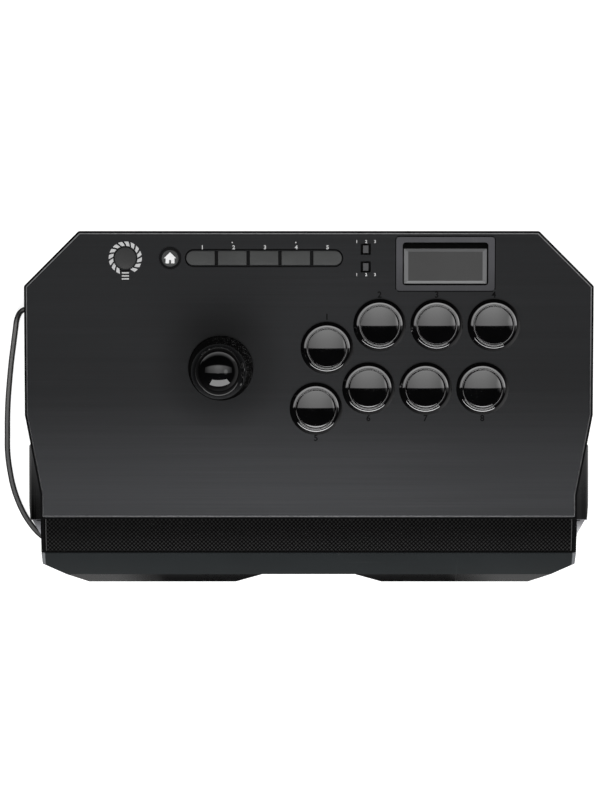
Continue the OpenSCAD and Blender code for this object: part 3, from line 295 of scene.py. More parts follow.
def metal(name, colour, rough, line=(1, 1, 1), pitch=0.25):
    """Plated or turned steel: tool marks along one direction, blotchy plating and a little darkening."""
    tree, shader = principled(name, colour, Metallic=1.0)
    marks = noise(tree, 1000 / pitch, 3.0, 0.6, coords(tree, line))
    blotch = noise(tree, 130.0, 4.0, 0.6)
    stain = noise(tree, 420.0).over(0.62, 0.72) * 0.3
    body = mix(tree, blotch.over(0.3, 0.75), shade(colour, 0.85), colour)
    body = mix(tree, stain, body, shade(colour, 0.55))
    cover(tree, shader, body, marks * 0.16 + blotch * 0.1 + (rough - 0.12), marks, 0.004)


def board(name):
    """Lacquered circuit board: copper traces under green lacquer, tinned pads and glass weave."""
    tree, shader = principled(name, (0.01, 0.11, 0.045), Coat_Weight=0.6, Coat_Roughness=0.12)
    x, y = axes(tree)[:2]
    route = cells(tree, 1.0, coords(tree, (260, 260, 90)), "Color")
    step_x = ((x * 330.0 + route * 2.0).fract() - 0.5).abs().over(0.2, 0.26)
    step_y = ((y * 330.0 + route * 1.7).fract() - 0.5).abs().over(0.24, 0.3)
    pick = noise(tree, 70.0, 1.0).over(0.49, 0.51)
    trace = step_x * pick + step_y * pick.rest()
    pad = ((x * 400.0).fract() - 0.5).abs().max(((y * 400.0).fract() - 0.5).abs()).over(0.3, 0.22)
    pad = pad * noise(tree, 55.0, 1.0).over(0.56, 0.6)
    weave = (x * 9000.0).sin() * (y * 9000.0).sin()
    green = mix(tree, trace, (0.006, 0.075, 0.03), (0.016, 0.16, 0.06))
    tinned = mix(tree, pad, green, (0.62, 0.6, 0.55))
    put(tree, shader.inputs["Metallic"], pad)
    relief = trace + pad * 1.6 + weave * 0.1
    cover(tree, shader, tinned, pad * -0.08 + 0.36 + weave * 0.03, relief, 0.035)


def brushed_panel(name, colour):
    """Dark lacquered sheet steel, brushed from side to side, with painted light that makes it paler to the
    front and a painted shadow round the lever.
    """
    tree, shader = principled(name, colour, Specular_IOR_Level=0.2)
    x, y = axes(tree)[:2]
    fine = noise(tree, 1.0, 4.0, 0.62, coords(tree, (9, 2300, 2300)))
    broad = noise(tree, 1.0, 3.0, 0.55, coords(tree, (3, 430, 430)))
    line = fine * 0.6 + broad * 0.4
    cloud = noise(tree, 9.0, 3.0)
    marks = noise(tree, 1.0, 1.5, 0.5, coords(tree, (6, 900, 900), (0, 0, 0.02))).over(0.68, 0.72)
    marks = marks * noise(tree, 14.0).over(0.5, 0.66)
    # painted light: paler to the front, a little paler at the rear and in the middle, and darker to the
    # right
    level = y.over(20 * MM, -60 * MM) * 1.17 + y.over(20 * MM, 80 * MM) * 0.12 + 0.89
    level = level * (x.abs().over(150 * MM, 0.0) * 0.12 + 1.0) * (x.over(20 * MM, 120 * MM) * -0.05 + 1.0)
    # a share can't pass 1, so the colours are three times as pale and the level a third
    bright = mix(tree, line.over(0.32, 0.68), shade(colour, 3 * 0.86), shade(colour, 3 * 1.15))
    body = mix(tree, level * (1 / 3), grey(0), bright)
    # painted shadow of the lever, round its washer and a little behind it
    across = x - LEVER_X
    along = y - (LEVER_Y + 0.9 * MM)
    painted_lever_shadow = (across * across + along * along).over((46 * MM) ** 2, (18 * MM) ** 2)
    body = mix(tree, painted_lever_shadow * 0.45, body, shade(colour, 0.3))
    # the front edge's face, ten times darker
    body = mix(tree, y.over(PLATE_Y + 0.1 * MM, PLATE_Y - 0.2 * MM), body, shade(colour, 0.1))
    dust = cells(tree, 380.0).over(0.12, 0.05) * noise(tree, 50.0).over(0.55, 0.7)
    body = mix(tree, marks * 0.012 + dust * 0.03, body, (0.3, 0.3, 0.31))
    cover(tree, shader, body, line * 0.2 + cloud * 0.08 + 0.3 + marks * 0.1, line, 0.012)


def edge_metal(name):
    """Bare steel of the plate's rolled edge, worn by rubbing."""
    tree, shader = principled(name, (0.12, 0.12, 0.122), Metallic=1.0)
    rub = noise(tree, 300.0, 3.0, 0.7)
    body = mix(tree, rub.over(0.3, 0.7), (0.2, 0.2, 0.205), (0.28, 0.28, 0.285))
    cover(tree, shader, body, rub * 0.06 + 0.3, rub, 0.001)


def washer_material(name):
    """Coarse spark-eroded black acetal, with painted glints on its grain at the rear right."""
    tree, shader = principled(name, grey(0.0015), Specular_IOR_Level=0.03)
    x, y = axes(tree)[:2]
    fine = noise(tree, 2600.0, 2.0, 0.6)
    toward = (x - LEVER_X) * 0.8 + (y - LEVER_Y) * 0.6
    # painted glints: the grain's dots are pale only toward the rear right
    lit = toward.over(-3.5 * MM, 17.5 * MM)
    painted_glints = cells(tree, 1500.0).over(0.5, 0.2) * noise(tree, 1100.0, 1.0).over(0.4, 0.6) * lit
    body = mix(tree, painted_glints, grey(0.0008), grey(0.03))
    cover(tree, shader, body, fine * 0.15 + 0.4, painted_glints + fine * 0.3, 0.08)


def key_material(name, colour):
    """Soft-touch key, very slightly crowned from front to rear."""
    tree, shader = principled(name, colour, Specular_IOR_Level=0.2)
    fine = noise(tree, 3200.0, 3.0, 0.62)
    cloud = noise(tree, 60.0, 3.0)
    off = (axes(tree)[1] - KEY_Y) / (4.45 * MM)
    body = clouded(tree, cloud, colour, 0.08, 0.3)
    body = mix(tree, cells(tree, 500.0).over(0.12, 0.05) * 0.06, body, DUST)
    cover(tree, shader, body, fine * 0.1 + cloud * 0.08 + 0.36, fine * 0.012 - off * off * 0.35, 1.0)


def grip_shell(name, colour):
    """Black shell with a painted reflection of the table and the room on its side grips and front corners.
    """
    tree, shader = principled(name, colour, Specular_IOR_Level=0.12)
    x, y, z = axes(tree)
    fine = noise(tree, 1700.0, 3.0, 0.62)
    cloud = noise(tree, 34.0, 4.0, 0.55)
    lines = scratches(tree)
    body = clouded(tree, cloud, colour, 0.12)
    out = x.abs()
    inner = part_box("front_bar")[1][0]
    to_right = x.over(-10 * MM, 10 * MM)
    # from the grips' front corners
    back = y - (PLATE_Y - 1.5 * MM)
    # painted reflection on the side grips: paler to the rear, darker on the left
    grip = out.over(inner, inner + 0.4 * MM) * z.over(6 * MM, 12 * MM) * y.over(-20 * MM, -26 * MM)
    rise = (back / (42 * MM)).max(0.0).min(1.0)
    pale = rise * rise
    left = mix(tree, pale, grey(0.0002), (0.045, 0.045, 0.046))
    right = mix(tree, pale, (0.007, 0.007, 0.0073), (0.04, 0.04, 0.041))
    body = mix(tree, grip, body, mix(tree, to_right, left, right))
    # painted reflection on the front corners' noses: paler to the front and on the right
    nose = back.over(0.0, -0.2 * MM) * out.over(inner - 0.7 * MM, inner - 0.2 * MM)
    fall = back.over(0.0, -11 * MM)
    left = mix(tree, fall, (0.06, 0.06, 0.065), (0.26, 0.26, 0.277))
    right = mix(tree, fall, (0.13, 0.13, 0.137), (0.48, 0.48, 0.49))
    body = mix(tree, nose, body, mix(tree, to_right, left, right))
    body = mix(tree, lines * 0.012, body, DUST)
    cover(tree, shader, body, cloud * 0.1 + fine * 0.06 + 0.2 + lines * 0.05, fine, 0.01)


def bar_material(name, colour):
    """Smooth dark moulding of the front bar, with a painted reflection of the table on its two end faces."""
    tree, shader = principled(name, colour, Specular_IOR_Level=0.13)
    x, y = axes(tree)[:2]
    fine = noise(tree, 2800.0, 3.0, 0.62)
    cloud = noise(tree, 34.0, 4.0, 0.55)
    body = clouded(tree, cloud, colour, 0.08)
    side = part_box("front_bar")[1][0]
    # painted reflection: the two end faces are pale, up to a slanting line
    slant = (y + 94.4 * MM) * 0.05
    ends = (x.abs() + slant).over(side - 2.5 * MM, side - 2.1 * MM)
    body = mix(tree, ends, body, (0.085, 0.088, 0.092))
    body = mix(tree, scratches(tree) * 0.02, body, DUST)
    cover(tree, shader, body, cloud * 0.12 + fine * 0.06 + 0.28, fine, 0.006)


def two_level(name, colour, low, high):
    """Grey moulding that painted shade turns black down in its recess: the black ends between low and high
    mm over the plate. It is a third darker to the front.
    """
    tree, shader = principled(name, colour, Specular_IOR_Level=0.18)
    y = axes(tree)[1]
    fine = noise(tree, 3000.0, 3.0, 0.62)
    cloud = noise(tree, 40.0, 4.0, 0.55)
    painted_recess_shade = plate_height(tree).over(high * MM, low * MM)
    body = clouded(tree, cloud, colour, 0.06)
    body = mix(tree, y.over(74 * MM, 100 * MM), mix(tree, 0.32, body, grey(0)), body)
    # painted shade: black down in the recess
    body = mix(tree, painted_recess_shade, body, grey(0.0012))
    body = mix(tree, scratches(tree) * 0.06 * painted_recess_shade.rest(), body, DUST)
    cover(tree, shader, body, fine * 0.08 + cloud * 0.1 + painted_recess_shade * 0.3 + 0.28, fine, 0.006)


def gridded(name, colour, pitch=2.6):
    """Grip texture of small raised squares set like a chessboard, with a plain rim. Painted light makes the
    squares' tops pale and their hollows near black, and all paler to the front.
    """
    tree, shader = principled(name, colour, Specular_IOR_Level=0.05)
    x, y = axes(tree)[:2]
    waves = 2 * math.pi / (pitch * MM)
    raised = ((x * waves).sin() * (y * waves).sin()).over(-0.05, 0.25)
    grain = noise(tree, 2600.0, 2.0, 0.6)
    cloud = noise(tree, 30.0, 3.0)
    # painted light and shade: pale tops, near-black hollows, paler to the front
    front = y.over(-78 * MM, -94 * MM)
    low = mix(tree, front, shade(colour, 0.02), shade(colour, 0.1))
    high = mix(tree, front, shade(colour, 2.9), shade(colour, 5.3))
    body = mix(tree, raised, low, high)
    out = x.abs()
    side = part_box("palm_rest")[1][0]
    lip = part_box("palm_rest")[0][1]
    # a painted highlight line near each end, then black at the ends and along the front edge
    body = mix(tree, out.over(side - 1.4 * MM, side - 1.2 * MM), body, grey(0.035))
    body = mix(tree, out.over(side - 0.9 * MM, side - 0.7 * MM), body, grey(0.0003))
    body = mix(tree, y.over(lip + 1.1 * MM, lip + 0.8 * MM), body, grey(0.0003))
    body = mix(tree, cells(tree, 500.0).over(0.13, 0.05) * 0.05, body, DUST)
    rough = grain * 0.12 + cloud * 0.1 + raised * -0.1 + 0.5
    cover(tree, shader, body, rough, raised + grain * 0.12, 0.16)


def jacket(name, colour):
    """Soft PVC cord jacket with a matte bloom and lint, and a painted highlight along its top, paler to the
    rear.
    """
    tree, shader = principled(name, colour, Specular_IOR_Level=0.08)
    y = axes(tree)[1]
    up = axes(tree, coords(tree, kind="Normal"))[2]
    fine = noise(tree, 1700.0, 3.0, 0.6)
    cloud = noise(tree, 55.0, 3.0)
    lint = cells(tree, 520.0).over(0.12, 0.05) * noise(tree, 90.0).over(0.52, 0.66)
    body = mix(tree, cloud.over(0.3, 0.7), shade(colour, 0.75), shade(colour, 1.3))
    # painted highlight along the cord's top, paler to the rear
    painted_top_highlight = mix(tree, y.over(-40 * MM, 60 * MM), grey(0.07), (0.15, 0.148, 0.145))
    body = mix(tree, up.over(0.72, 0.98), body, painted_top_highlight)
    body = mix(tree, lint * 0.1, body, (0.35, 0.34, 0.33))
    cover(tree, shader, body, cloud * 0.14 + fine * 0.06 + 0.34, fine + cloud * 2.0, 0.005)


def plug_material(name):
    """Black overmould with a nickel-plated shell at its end."""
    tree, shader = principled(name, grey(0.02))
    x = axes(tree)[0]
    shell = x.over(19.7 * MM, 20.2 * MM)
    fine = noise(tree, 1500.0, 3.0)
    ribs = ((x * 420.0).fract() - 0.5).abs().over(0.18, 0.3)
    ribs = ribs * x.over(2 * MM, 3 * MM) * x.over(14.5 * MM, 13.5 * MM)
    black = mix(tree, fine, grey(0.012), (0.03, 0.03, 0.031))
    put(tree, shader.inputs["Metallic"], shell)
    body = mix(tree, shell, black, (0.62, 0.61, 0.58))
    cover(tree, shader, body, fine * 0.15 + shell * -0.2 + 0.42, ribs * 4.0 + fine * 0.3, 0.05)


def lamp_lens(name):
    """Milky lens of a small lamp."""
    tree, shader = principled(name, grey(0.3), Coat_Weight=0.5)
    put(tree, shader.inputs["Roughness"], noise(tree, 2000.0) * 0.2 + 0.1)
    put(tree, shader.inputs["Base Color"], mix(tree, noise(tree, 1500.0), grey(0.22), grey(0.4)))


def ink(name, level, rough=0.5):
    """Screen-printed grey ink with a little texture and wear."""
    tree, shader = principled(name, grey(level), Specular_IOR_Level=0.05)
    worn = noise(tree, 900.0, 3.0, 0.7)
    body = mix(tree, worn.over(0.35, 0.75) * 0.4, grey(level), grey(level * 0.7))
    cover(tree, shader, body, worn * 0.2 + (rough - 0.1), worn, 0.01)


moulded("black_shell", (0.0016, 0.0016, 0.0017), 0.45, 0.6, wear=0.1, Specular_IOR_Level=0.03)
brushed_panel("panel_metal", (0.0089, 0.0092, 0.0099))
edge_metal("panel_edge")
gridded("palm_texture", grey(0.0021))
bar_material("front_trim", (0.006, 0.0074, 0.008))
grip_shell("grip_shell", (0.001, 0.001, 0.0011))
moulded("rubber", grey(0.02), 0.7, 0.9, 0.04, Specular_IOR_Level=0.2)
moulded("rubber_black", grey(0.0015), 0.7, 0.9, Specular_IOR_Level=0.03)
metal("screw_steel", (0.42, 0.42, 0.44), 0.38)
metal("plate_steel", (0.55, 0.55, 0.56), 0.34, (1, 12, 12), 0.5)
moulded("black_plastic", (0.003, 0.003, 0.0032), 0.4, 0.4, 0.015, Specular_IOR_Level=0.1)
moulded("white_nylon", (0.7, 0.69, 0.65), 0.42)
moulded("switch_grey", (0.13, 0.13, 0.135), 0.5, 0.3)
moulded("switch_black", (0.02, 0.02, 0.021), 0.45, 0.3)
moulded("gate_grey", (0.06, 0.06, 0.064), 0.45, 0.4)
board("board_green")
glossy("gloss_black", (0.0008, 0.0008, 0.0009), 0.06, 0.15, Coat_IOR=1.65)
glossy("gloss_rim", (0.0008, 0.0008, 0.0009), 0.06, 0.15, Coat_IOR=2.3)
glossy("ball_gloss", (0.001, 0.001, 0.0011), 0.05, 0.1, Specular_IOR_Level=0.4,
       Sheen_Weight=0.2, Sheen_Roughness=0.05)
washer_material("washer_grain")
two_level("bezel_grey", (0.047, 0.047, 0.051), 0.1, 0.35)
two_level("knob_grey", (0.05, 0.0505, 0.052), -1.2, -0.4)
key_material("options_grey", grey(0.023))
key_material("key_grey", (0.0365, 0.0375, 0.0372))
moulded("pad_grey", grey(0.0355), 0.5, 0.25, 0.008, 0.06)
moulded("pad_frame", (0.1, 0.101, 0.103), 0.4, 0.25, 0.006, 0.05)
jacket("cord_jacket", grey(0.001))
plug_material("plug_black")
ink("dark_ink", 0.002, 0.6)
ink("pale_ink", 0.36)
ink("sign_white", 0.57)
lamp_lens("lamp_lens")

# a CAD node has its slot's material, apart from these
OWN = {"base_shell": "grip_shell", "ball_top": "ball_gloss", "dust_washer": "washer_grain",
       "mode_slider": "knob_grey", "stick_slider": "knob_grey", "options_button": "options_grey",
       "usb_plug": "plug_black"}
for part in frame["record"]["subparts"]:
    slots = NODES[part["node"]].data.materials
    slots.clear()
    slots.append(MATERIALS[OWN.get(part["node"], part["material_slot"])])


def soften(names, width, segments=2, angle=40):
    """Rounds a node's sharp edges, as moulding and tumbling do."""
    for name in names:
        bevel = NODES[name].modifiers.new("edge", "BEVEL")
        bevel.width = width * MM
        bevel.segments = segments
        bevel.limit_method = "ANGLE"
        bevel.angle_limit = math.radians(angle)
        bevel.harden_normals = True


soften(["function_key_%d" % k for k in range(1, 6)] + ["home_button", "options_button"], 0.3, 3)
soften(["touch_bezel", "mode_slider", "stick_slider", "usb_plug"], 0.2)
soften(["front_bar", "palm_rest"], 0.25, angle=20)
soften(["base_screws", "board_screws", "lever_nuts"], 0.15)


# making pieces
def piece(name, data, body, material):
    """A new object of curve or mesh data, which rides a body."""
    o = bpy.data.objects.new(name, data)
    SCENE.collection.objects.link(o)
    data.materials.clear()
    data.materials.append(MATERIALS[material])
    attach(o, body)
    return o


def mesh_piece(name, bm, body, material, smooth=40):
    """A piece of the mesh bm, smooth where faces meet at less than so many degrees."""
    bmesh.ops.recalc_face_normals(bm, faces=bm.faces)
    mesh = bpy.data.meshes.new(name)
    bm.to_mesh(mesh)
    bm.free()
    for face in mesh.polygons:
        face.use_smooth = True
    mesh.set_sharp_from_angle(angle=math.radians(smooth))
    return piece(name, mesh, body, material)


def on_plate(u, v, w=0.0):
    return PLATE @ Matrix.Translation((u * MM, v * MM, w * MM))


def ring(bm, points, place=PLATE):
    """Vertices at points in mm, in the frame of the matrix place."""
    return [bm.verts.new(place @ (Vector(p) * MM)) for p in points]


def band(bm, a, b):
    """Faces between two rings of vertices."""
    for i in range(len(a)):
        j = (i + 1) % len(a)
        bm.faces.new((a[i], a[j], b[j], b[i]))


def hoop(bm, rings):
    """A solid with a hole: each ring is joined to the next one, and the last to the first."""
    for a, b in zip(rings, rings[1:] + rings[:1]):
        band(bm, a, b)


def stack(bm, rings):
    """A solid of rings one over the other, closed at its ends."""
    bm.faces.new(rings[0][::-1])
    for a, b in zip(rings, rings[1:]):
        band(bm, a, b)
    bm.faces.new(rings[-1])


def lathe(bm, profile, place, sides=96):
    """A closed profile of points (radius, height), turned about the local w axis of the matrix place."""
    turns = [2 * math.pi * i / sides for i in range(sides)]
    rings = [ring(bm, [(r * math.cos(a), r * math.sin(a), h) for a in turns], place) for r, h in profile]
    hoop(bm, rings)
    if any(r == 0 for r, h in profile):
        bmesh.ops.remove_doubles(bm, verts=[v for a in rings for v in a], dist=1e-6)


def slab(bm, outline, low, high, place=PLATE):
    """A flat-topped solid over an outline of points (u, v)."""
    stack(bm, [ring(bm, [(x, y, height) for x, y in outline], place) for height in (low, high)])


def oblong(bm, left, right, front, rear, low, high, place=PLATE):
    """A flat-topped solid over a rectangle."""
    slab(bm, [(left, front), (right, front), (right, rear), (left, rear)], low, high, place)


def tube(name, points, radius):
    """A round rod along points in metres, as a curve."""
    curve = bpy.data.curves.new(name, "CURVE")
    curve.dimensions = "3D"
    line = curve.splines.new("POLY")
    line.points.add(len(points) - 1)
    for knot, point in zip(line.points, points):
        knot.co = (*point, 1)
    line.use_smooth = True
    curve.bevel_depth = radius * MM
    curve.bevel_resolution = 2
    curve.use_fill_caps = True
    return curve


# cord: the route's points repeat the source's, in mm
ROUTE = [
    (-176.5, 66, 12), (-180, 66, 12), (-184, 66, 11.6), (-187.5, 65.6, 10.4), (-190.4, 64.2, 8.3),
    (-192.4, 61.6, 5.8), (-193.8, 58, 3.6), (-194.6, 53, 2.3), (-195.4, 47, 1.9), (-196.3, 40, 1.9),
    (-197.3, 32, 1.9), (-198.1, 24, 1.9), (-198.8, 16, 1.9), (-199.4, 8, 1.9), (-199.8, 0, 1.9),
    (-200, -8, 1.9), (-200, -17, 1.9), (-200, -26, 1.9), (-199.4, -34, 1.9), (-198.2, -42, 1.9),
    (-196.6, -50, 1.9), (-194.2, -58, 1.9), (-190.9, -66, 1.9), (-186.4, -74, 1.9), (-180, -82, 1.9),
    (-172, -88, 1.9), (-163, -91.5, 1.9), (-153, -92.4, 1.9), (-143, -91, 1.9), (-132, -86.5, 1.9),
    (-121, -79.5, 1.9), (-110, -71, 1.9), (-99, -62, 1.9), (-88, -53, 1.9), (-77, -44.5, 1.9),
    (-66, -37.5, 1.9), (-54, -32.5, 1.9), (-42, -30.4, 1.9), (-30, -30, 1.9), (-18, -30, 1.9)]
INTO_COIL = [(-15, -30, 1.9), (-12, -30, 1.9)]
OUT_OF_COIL = [(-39, -58, 14.8), (-39, -56, 14.8)]
TAIL = [
    (-39, -54, 14.8), (-39, -50, 14.6), (-38.8, -44, 13.4), (-38, -38, 11.2), (-36.4, -32, 8.8),
    (-33.4, -26.5, 6.7), (-28.8, -22, 5.2), (-23, -19.2, 4.3), (-17, -18.1, 4), (-10, -18, 4)]
# the coil: four flat layers of turns, wound inward and outward by turns
COIL_X = -8
COIL_Y = -61
COIL_Z = 1.9
COIL_RADIUS = 31
TURNS = 20.75
LAYER_TURNS = TURNS / 4
TURN_PITCH = 4.4
LAYER_PITCH = 4.3
# the cord climbs to the next layer in half a turn
CLIMB = 0.5
COIL_STEPS = 48
# a hair under the source's 1.9, which keeps the cord within the CAD model's box
CORD_RADIUS = 1.85


def coil_point(turns):
    """Where the cord is after so many turns of the coil."""
    swing = turns % (2 * LAYER_TURNS)
    inward = min(swing, 2 * LAYER_TURNS - swing)
    layer = math.floor((turns + CLIMB / 2) / LAYER_TURNS)
    climbed = min((turns + CLIMB / 2 - layer * LAYER_TURNS) / CLIMB, 1)
    up = 0 if layer < 1 else layer - 1 + climbed
    radius = COIL_RADIUS - TURN_PITCH * inward
    angle = math.radians(90 - 360 * turns)
    return (COIL_X + radius * math.cos(angle), COIL_Y + radius * math.sin(angle), COIL_Z + LAYER_PITCH * up)


def flowing(points, parts=3):
    """The same points with more on a smooth curve, which cuts each stretch in so many parts."""
    points = [Vector(p) for p in points]
    out = []
    for k in range(len(points) - 1):
        start, end = points[k:k + 2]
        before = points[max(k - 1, 0)]
        after = points[min(k + 2, len(points) - 1)]
        for part in range(parts):
            t = part / parts
            square = 2 * before - 5 * start + 4 * end - after
            cube = 3 * start - before - 3 * end + after
            out.append(0.5 * (2 * start + (end - before) * t + square * t * t + cube * t ** 3))
    return out + [points[-1]]


path = flowing(ROUTE) + [Vector(p) for p in INTO_COIL]
path += [Vector(coil_point(k / COIL_STEPS)) for k in range(2, int(TURNS * COIL_STEPS) - 1)]
path += [Vector(p) for p in OUT_OF_COIL] + flowing(TAIL)
path = [p * MM for p in path]
LENGTH = round(sum((b - a).length for a, b in zip(path, path[1:])), 3)

cord = piece("cord", tube("cord", path, CORD_RADIUS), "housing", "cord_jacket")
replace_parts(cord, "cord_run", "cord_coil")


def strain_relief():
    """Strain relief with five grooves. Its profile is radius and distance from the wall."""
    profile = [(0.2, -4), (2.95, -4), (2.95, 0), (4.6, 0), (5, 0.35), (5, 1.1), (4.6, 1.5), (3.05, 1.6)]
    for k in range(5):
        height = 2.3 + k * 1.6
        radius = 3.0 - k * 0.14
        groove = radius - 0.62
        profile += [(radius, height), (radius - 0.12, height + 0.12), (groove, height + 0.2),
                    (groove, height + 0.6), (radius - 0.16, height + 0.68), (radius - 0.04, height + 0.8)]
    profile += [(2.24, 10.3), (2.1, 10.5), (0.2, 10.5)]
    wall = Vector((-166, *ROUTE[0][1:]))
    bm = bmesh.new()
    lathe(bm, profile, Matrix.Translation(wall * MM) @ Matrix.Rotation(-math.pi / 2, 4, "Y"), 48)
    return mesh_piece("strain_relief", bm, "housing", "rubber", 50)


gland = strain_relief()
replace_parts(gland, "cord_gland")


def lever_coil(wire=1.0, winds=4, steps=24, lean=1.9):
    """Return spring of the lever, which leans with the shaft. Over it is some room for that."""
    low, high = plate_box("lever_spring")
    radius = (high[0] - low[0] - wire) / 2
    u = (low[0] + high[0]) / 2
    v = (low[1] + high[1]) / 2
    rise = high[2] - low[2] - wire - lean
    points = []
    for k in range(winds * steps + 1):
        angle = 2 * math.pi * k / steps
        w = low[2] + wire / 2 + rise * k / (winds * steps)
        points.append(on_plate(u + radius * math.cos(angle), v + radius * math.sin(angle), w).translation)
    return piece("lever_coil", tube("lever_coil", points, wire / 2), "lever", "screw_steel")


def bend(profile, control, end, steps):
    """Adds a curve to a profile, which leaves its last point toward control and comes from there to end."""
    start = profile[-1]
    for k in range(1, steps + 1):
        t = k / steps
        profile.append(tuple((1 - t) ** 2 * a + 2 * t * (1 - t) * c + t * t * b
                             for a, c, b in zip(start, control, end)))


def button_rims():
    """Push button cases: a black flange, a sloped ring and a rounded inner lip."""
    rim = [(16.95, 0), (16.95, 0.75), (16.6, 1.0), (14.95, 2.155)]
    bend(rim, (14.83, 2.24), (14.66, 2.294), 3)
    bend(rim, (14.11, 2.45), (13.52, 2.478), 6)
    # the lip: its foot, its outer side, its top and its inner side
    bend(rim, (13.36, 2.57), (13.27, 2.7), 3)
    bend(rim, (13.23, 2.75), (13.12, 2.76), 2)
    bend(rim, (12.93, 2.78), (12.74, 2.756), 3)
    bend(rim, (12.59, 2.74), (12.55, 2.6), 3)
    rim += [(12.52, 2.4), (12.5, 2.2), (12.35, 1.7)]
    # the case under the plate, with its floor round the switch
    rim += [(12.35, -6), (13.6, -6), (13.6, -17), (3.25, -17),
            (3.25, -19), (14.6, -19), (14.9, -18.6), (14.9, 0)]
    bm = bmesh.new()
    for u, v in BUTTONS:
        lathe(bm, rim, on_plate(u, v))
    return mesh_piece("button_rims", bm, "housing", "gloss_rim", 35)


def button_cap(k, u, v, top=4.6, crown=60.6, edge=11.85, steps=12):
    """Cap with a crowned top, a skirt, a retaining flange and a stem."""
    profile = []
    for step in range(steps + 1):
        radius = edge * step / steps
        height = top - crown + math.sqrt(crown ** 2 - radius ** 2)
        profile.append((radius, height))
    profile += [(edge + 0.1, height - 0.03), (edge + 0.15, height - 0.1), (edge + 0.15, -6.1),
                (13.34, -6.1), (13.34, -7.5), (10.4, -7.5), (10.4, 1.8), (3.0, 1.8),
                (3.0, -15.6), (2.8, -15.7), (0, -15.7)]
    bm = bmesh.new()
    lathe(bm, profile, on_plate(u, v))
    return mesh_piece("cap_%d" % k, bm, "button_%d" % k, "gloss_black", 35)


def touch_surface():
    """A flat pad in a lighter bevelled frame, with a dark gap behind it."""
    low, high = plate_box("touchpad")
    left = low[0]
    right = high[0]
    front = low[1] + 0.42
    rear = high[1] - 0.93
    bm = bmesh.new()
    rings = []
    # how far a loop stands in at the sides and at front and rear, and its height
    for side, end, w in ((0, 0, -2.0), (0, 0, -0.62), (0.15, 0.15, -0.45),
                         (2.6, 1.9, 0.3), (2.75, 2.05, 0.24), (2.95, 2.25, 0.24)):
        rings.append(ring(bm, [(left + side, front + end, w), (right - side, front + end, w),
                               (right - side, rear - end, w), (left + side, rear - end, w)]))
    stack(bm, rings)
    pad = mesh_piece("touch_surface", bm, "touchpad_body", "pad_grey", 12)
    pad.data.materials.append(MATERIALS["pad_frame"])
    for face in pad.data.polygons:
        u, v = (PLATE.inverted() @ face.center / MM)[:2]
        inside = left + 2.75 < u < right - 2.75 and front + 1.8 < v < rear - 1.8
        face.material_index = 0 if inside else 1
    return pad


def inset(outline, by):
    """An outline moved inward by so many mm."""
    moved = []
    for i in range(len(outline)):
        before, corner, after = (Vector(outline[(i + k) % len(outline)]) for k in (-1, 0, 1))
        first = Vector((before.y - corner.y, corner.x - before.x)).normalized()
        second = Vector((corner.y - after.y, after.x - corner.x)).normalized()
        moved.append(corner + by * (first + second) / (1 + first.dot(second)))
    return moved


def panel_edge():
    """Bright rolled edge round the top plate, lower at its two front ends."""
    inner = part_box("front_bar")[1][0] / MM
    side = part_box("upper_shell")[1][0] / MM
    rear = plate_box("upper_shell")[1][1]
    half = [(inner, -1.1), (inner, 14.74), (side, 66.96), (side, rear - 35.38), (side - 35.5, rear)]
    outline = half + [(-u, v) for u, v in reversed(half)]
    ends = (0, len(outline) - 1)
    bm = bmesh.new()
    rings = []
    for inward, height in ((1.3, 0.0), (1.3, 0.02), (1.8, 0.2), (1.92, 0.2), (2.0, 0.0)):
        loop = inset(outline, inward)
        for k in ends:
            loop[k].y = inward - 0.75
        rings.append(ring(bm, [(*q, height * (0.35 if k in ends else 1)) for k, q in enumerate(loop)]))
    hoop(bm, rings)
    mesh_piece("panel_edge", bm, "housing", "panel_edge", 30)


def bar_gasket():
    """Black gasket in the joint between the palm rest and the front bar."""
    low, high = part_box("front_bar")
    half = high[0] / MM - 1.5
    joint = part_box("palm_rest")[0][1]
    bm = bmesh.new()
    oblong(bm, -half, half, -0.3, 0.3, -1.0, 0.03, Matrix.Translation((0, joint, high[2])))
    mesh_piece("bar_gasket", bm, "housing", "rubber_black")


# printed marks: plain numbers, ticks and bars, which lie between these heights on the plate
PRINT_LOW = 0.01
PRINT_HIGH = 0.04


def words(bm, text, size, u, v, bold):
    """Printed characters lying on the plate, with their strokes widened by bold."""
    half = (PRINT_HIGH - PRINT_LOW) / 2
    curve = bpy.data.curves.new("text", "FONT")
    curve.body = text
    curve.size = size * MM
    curve.align_x = "CENTER"
    curve.align_y = "CENTER"
    curve.extrude = half * MM
    curve.offset = bold * MM
    curve.resolution_u = 4
    o = bpy.data.objects.new("text", curve)
    SCENE.collection.objects.link(o)
    bpy.context.view_layer.update()
    mesh = bpy.data.meshes.new_from_object(o.evaluated_get(bpy.context.evaluated_depsgraph_get()))
    mesh.transform(on_plate(u, v, PRINT_LOW + half))
    bm.from_mesh(mesh)
    bpy.data.objects.remove(o)
    bpy.data.curves.remove(curve)
    bpy.data.meshes.remove(mesh)


def button_numbers():
    """A number behind each rear button and in front of each front one."""
    off = [20, 19.6, 19.6, 19.6, -19.1, -19.4, -19.4, -19.4]
    bm = bmesh.new()
    for k, (u, v) in enumerate(BUTTONS):
        words(bm, str(k + 1), 5.6, u, v + off[k], 0.1)
    mesh_piece("button_numbers", bm, "housing", "dark_ink")


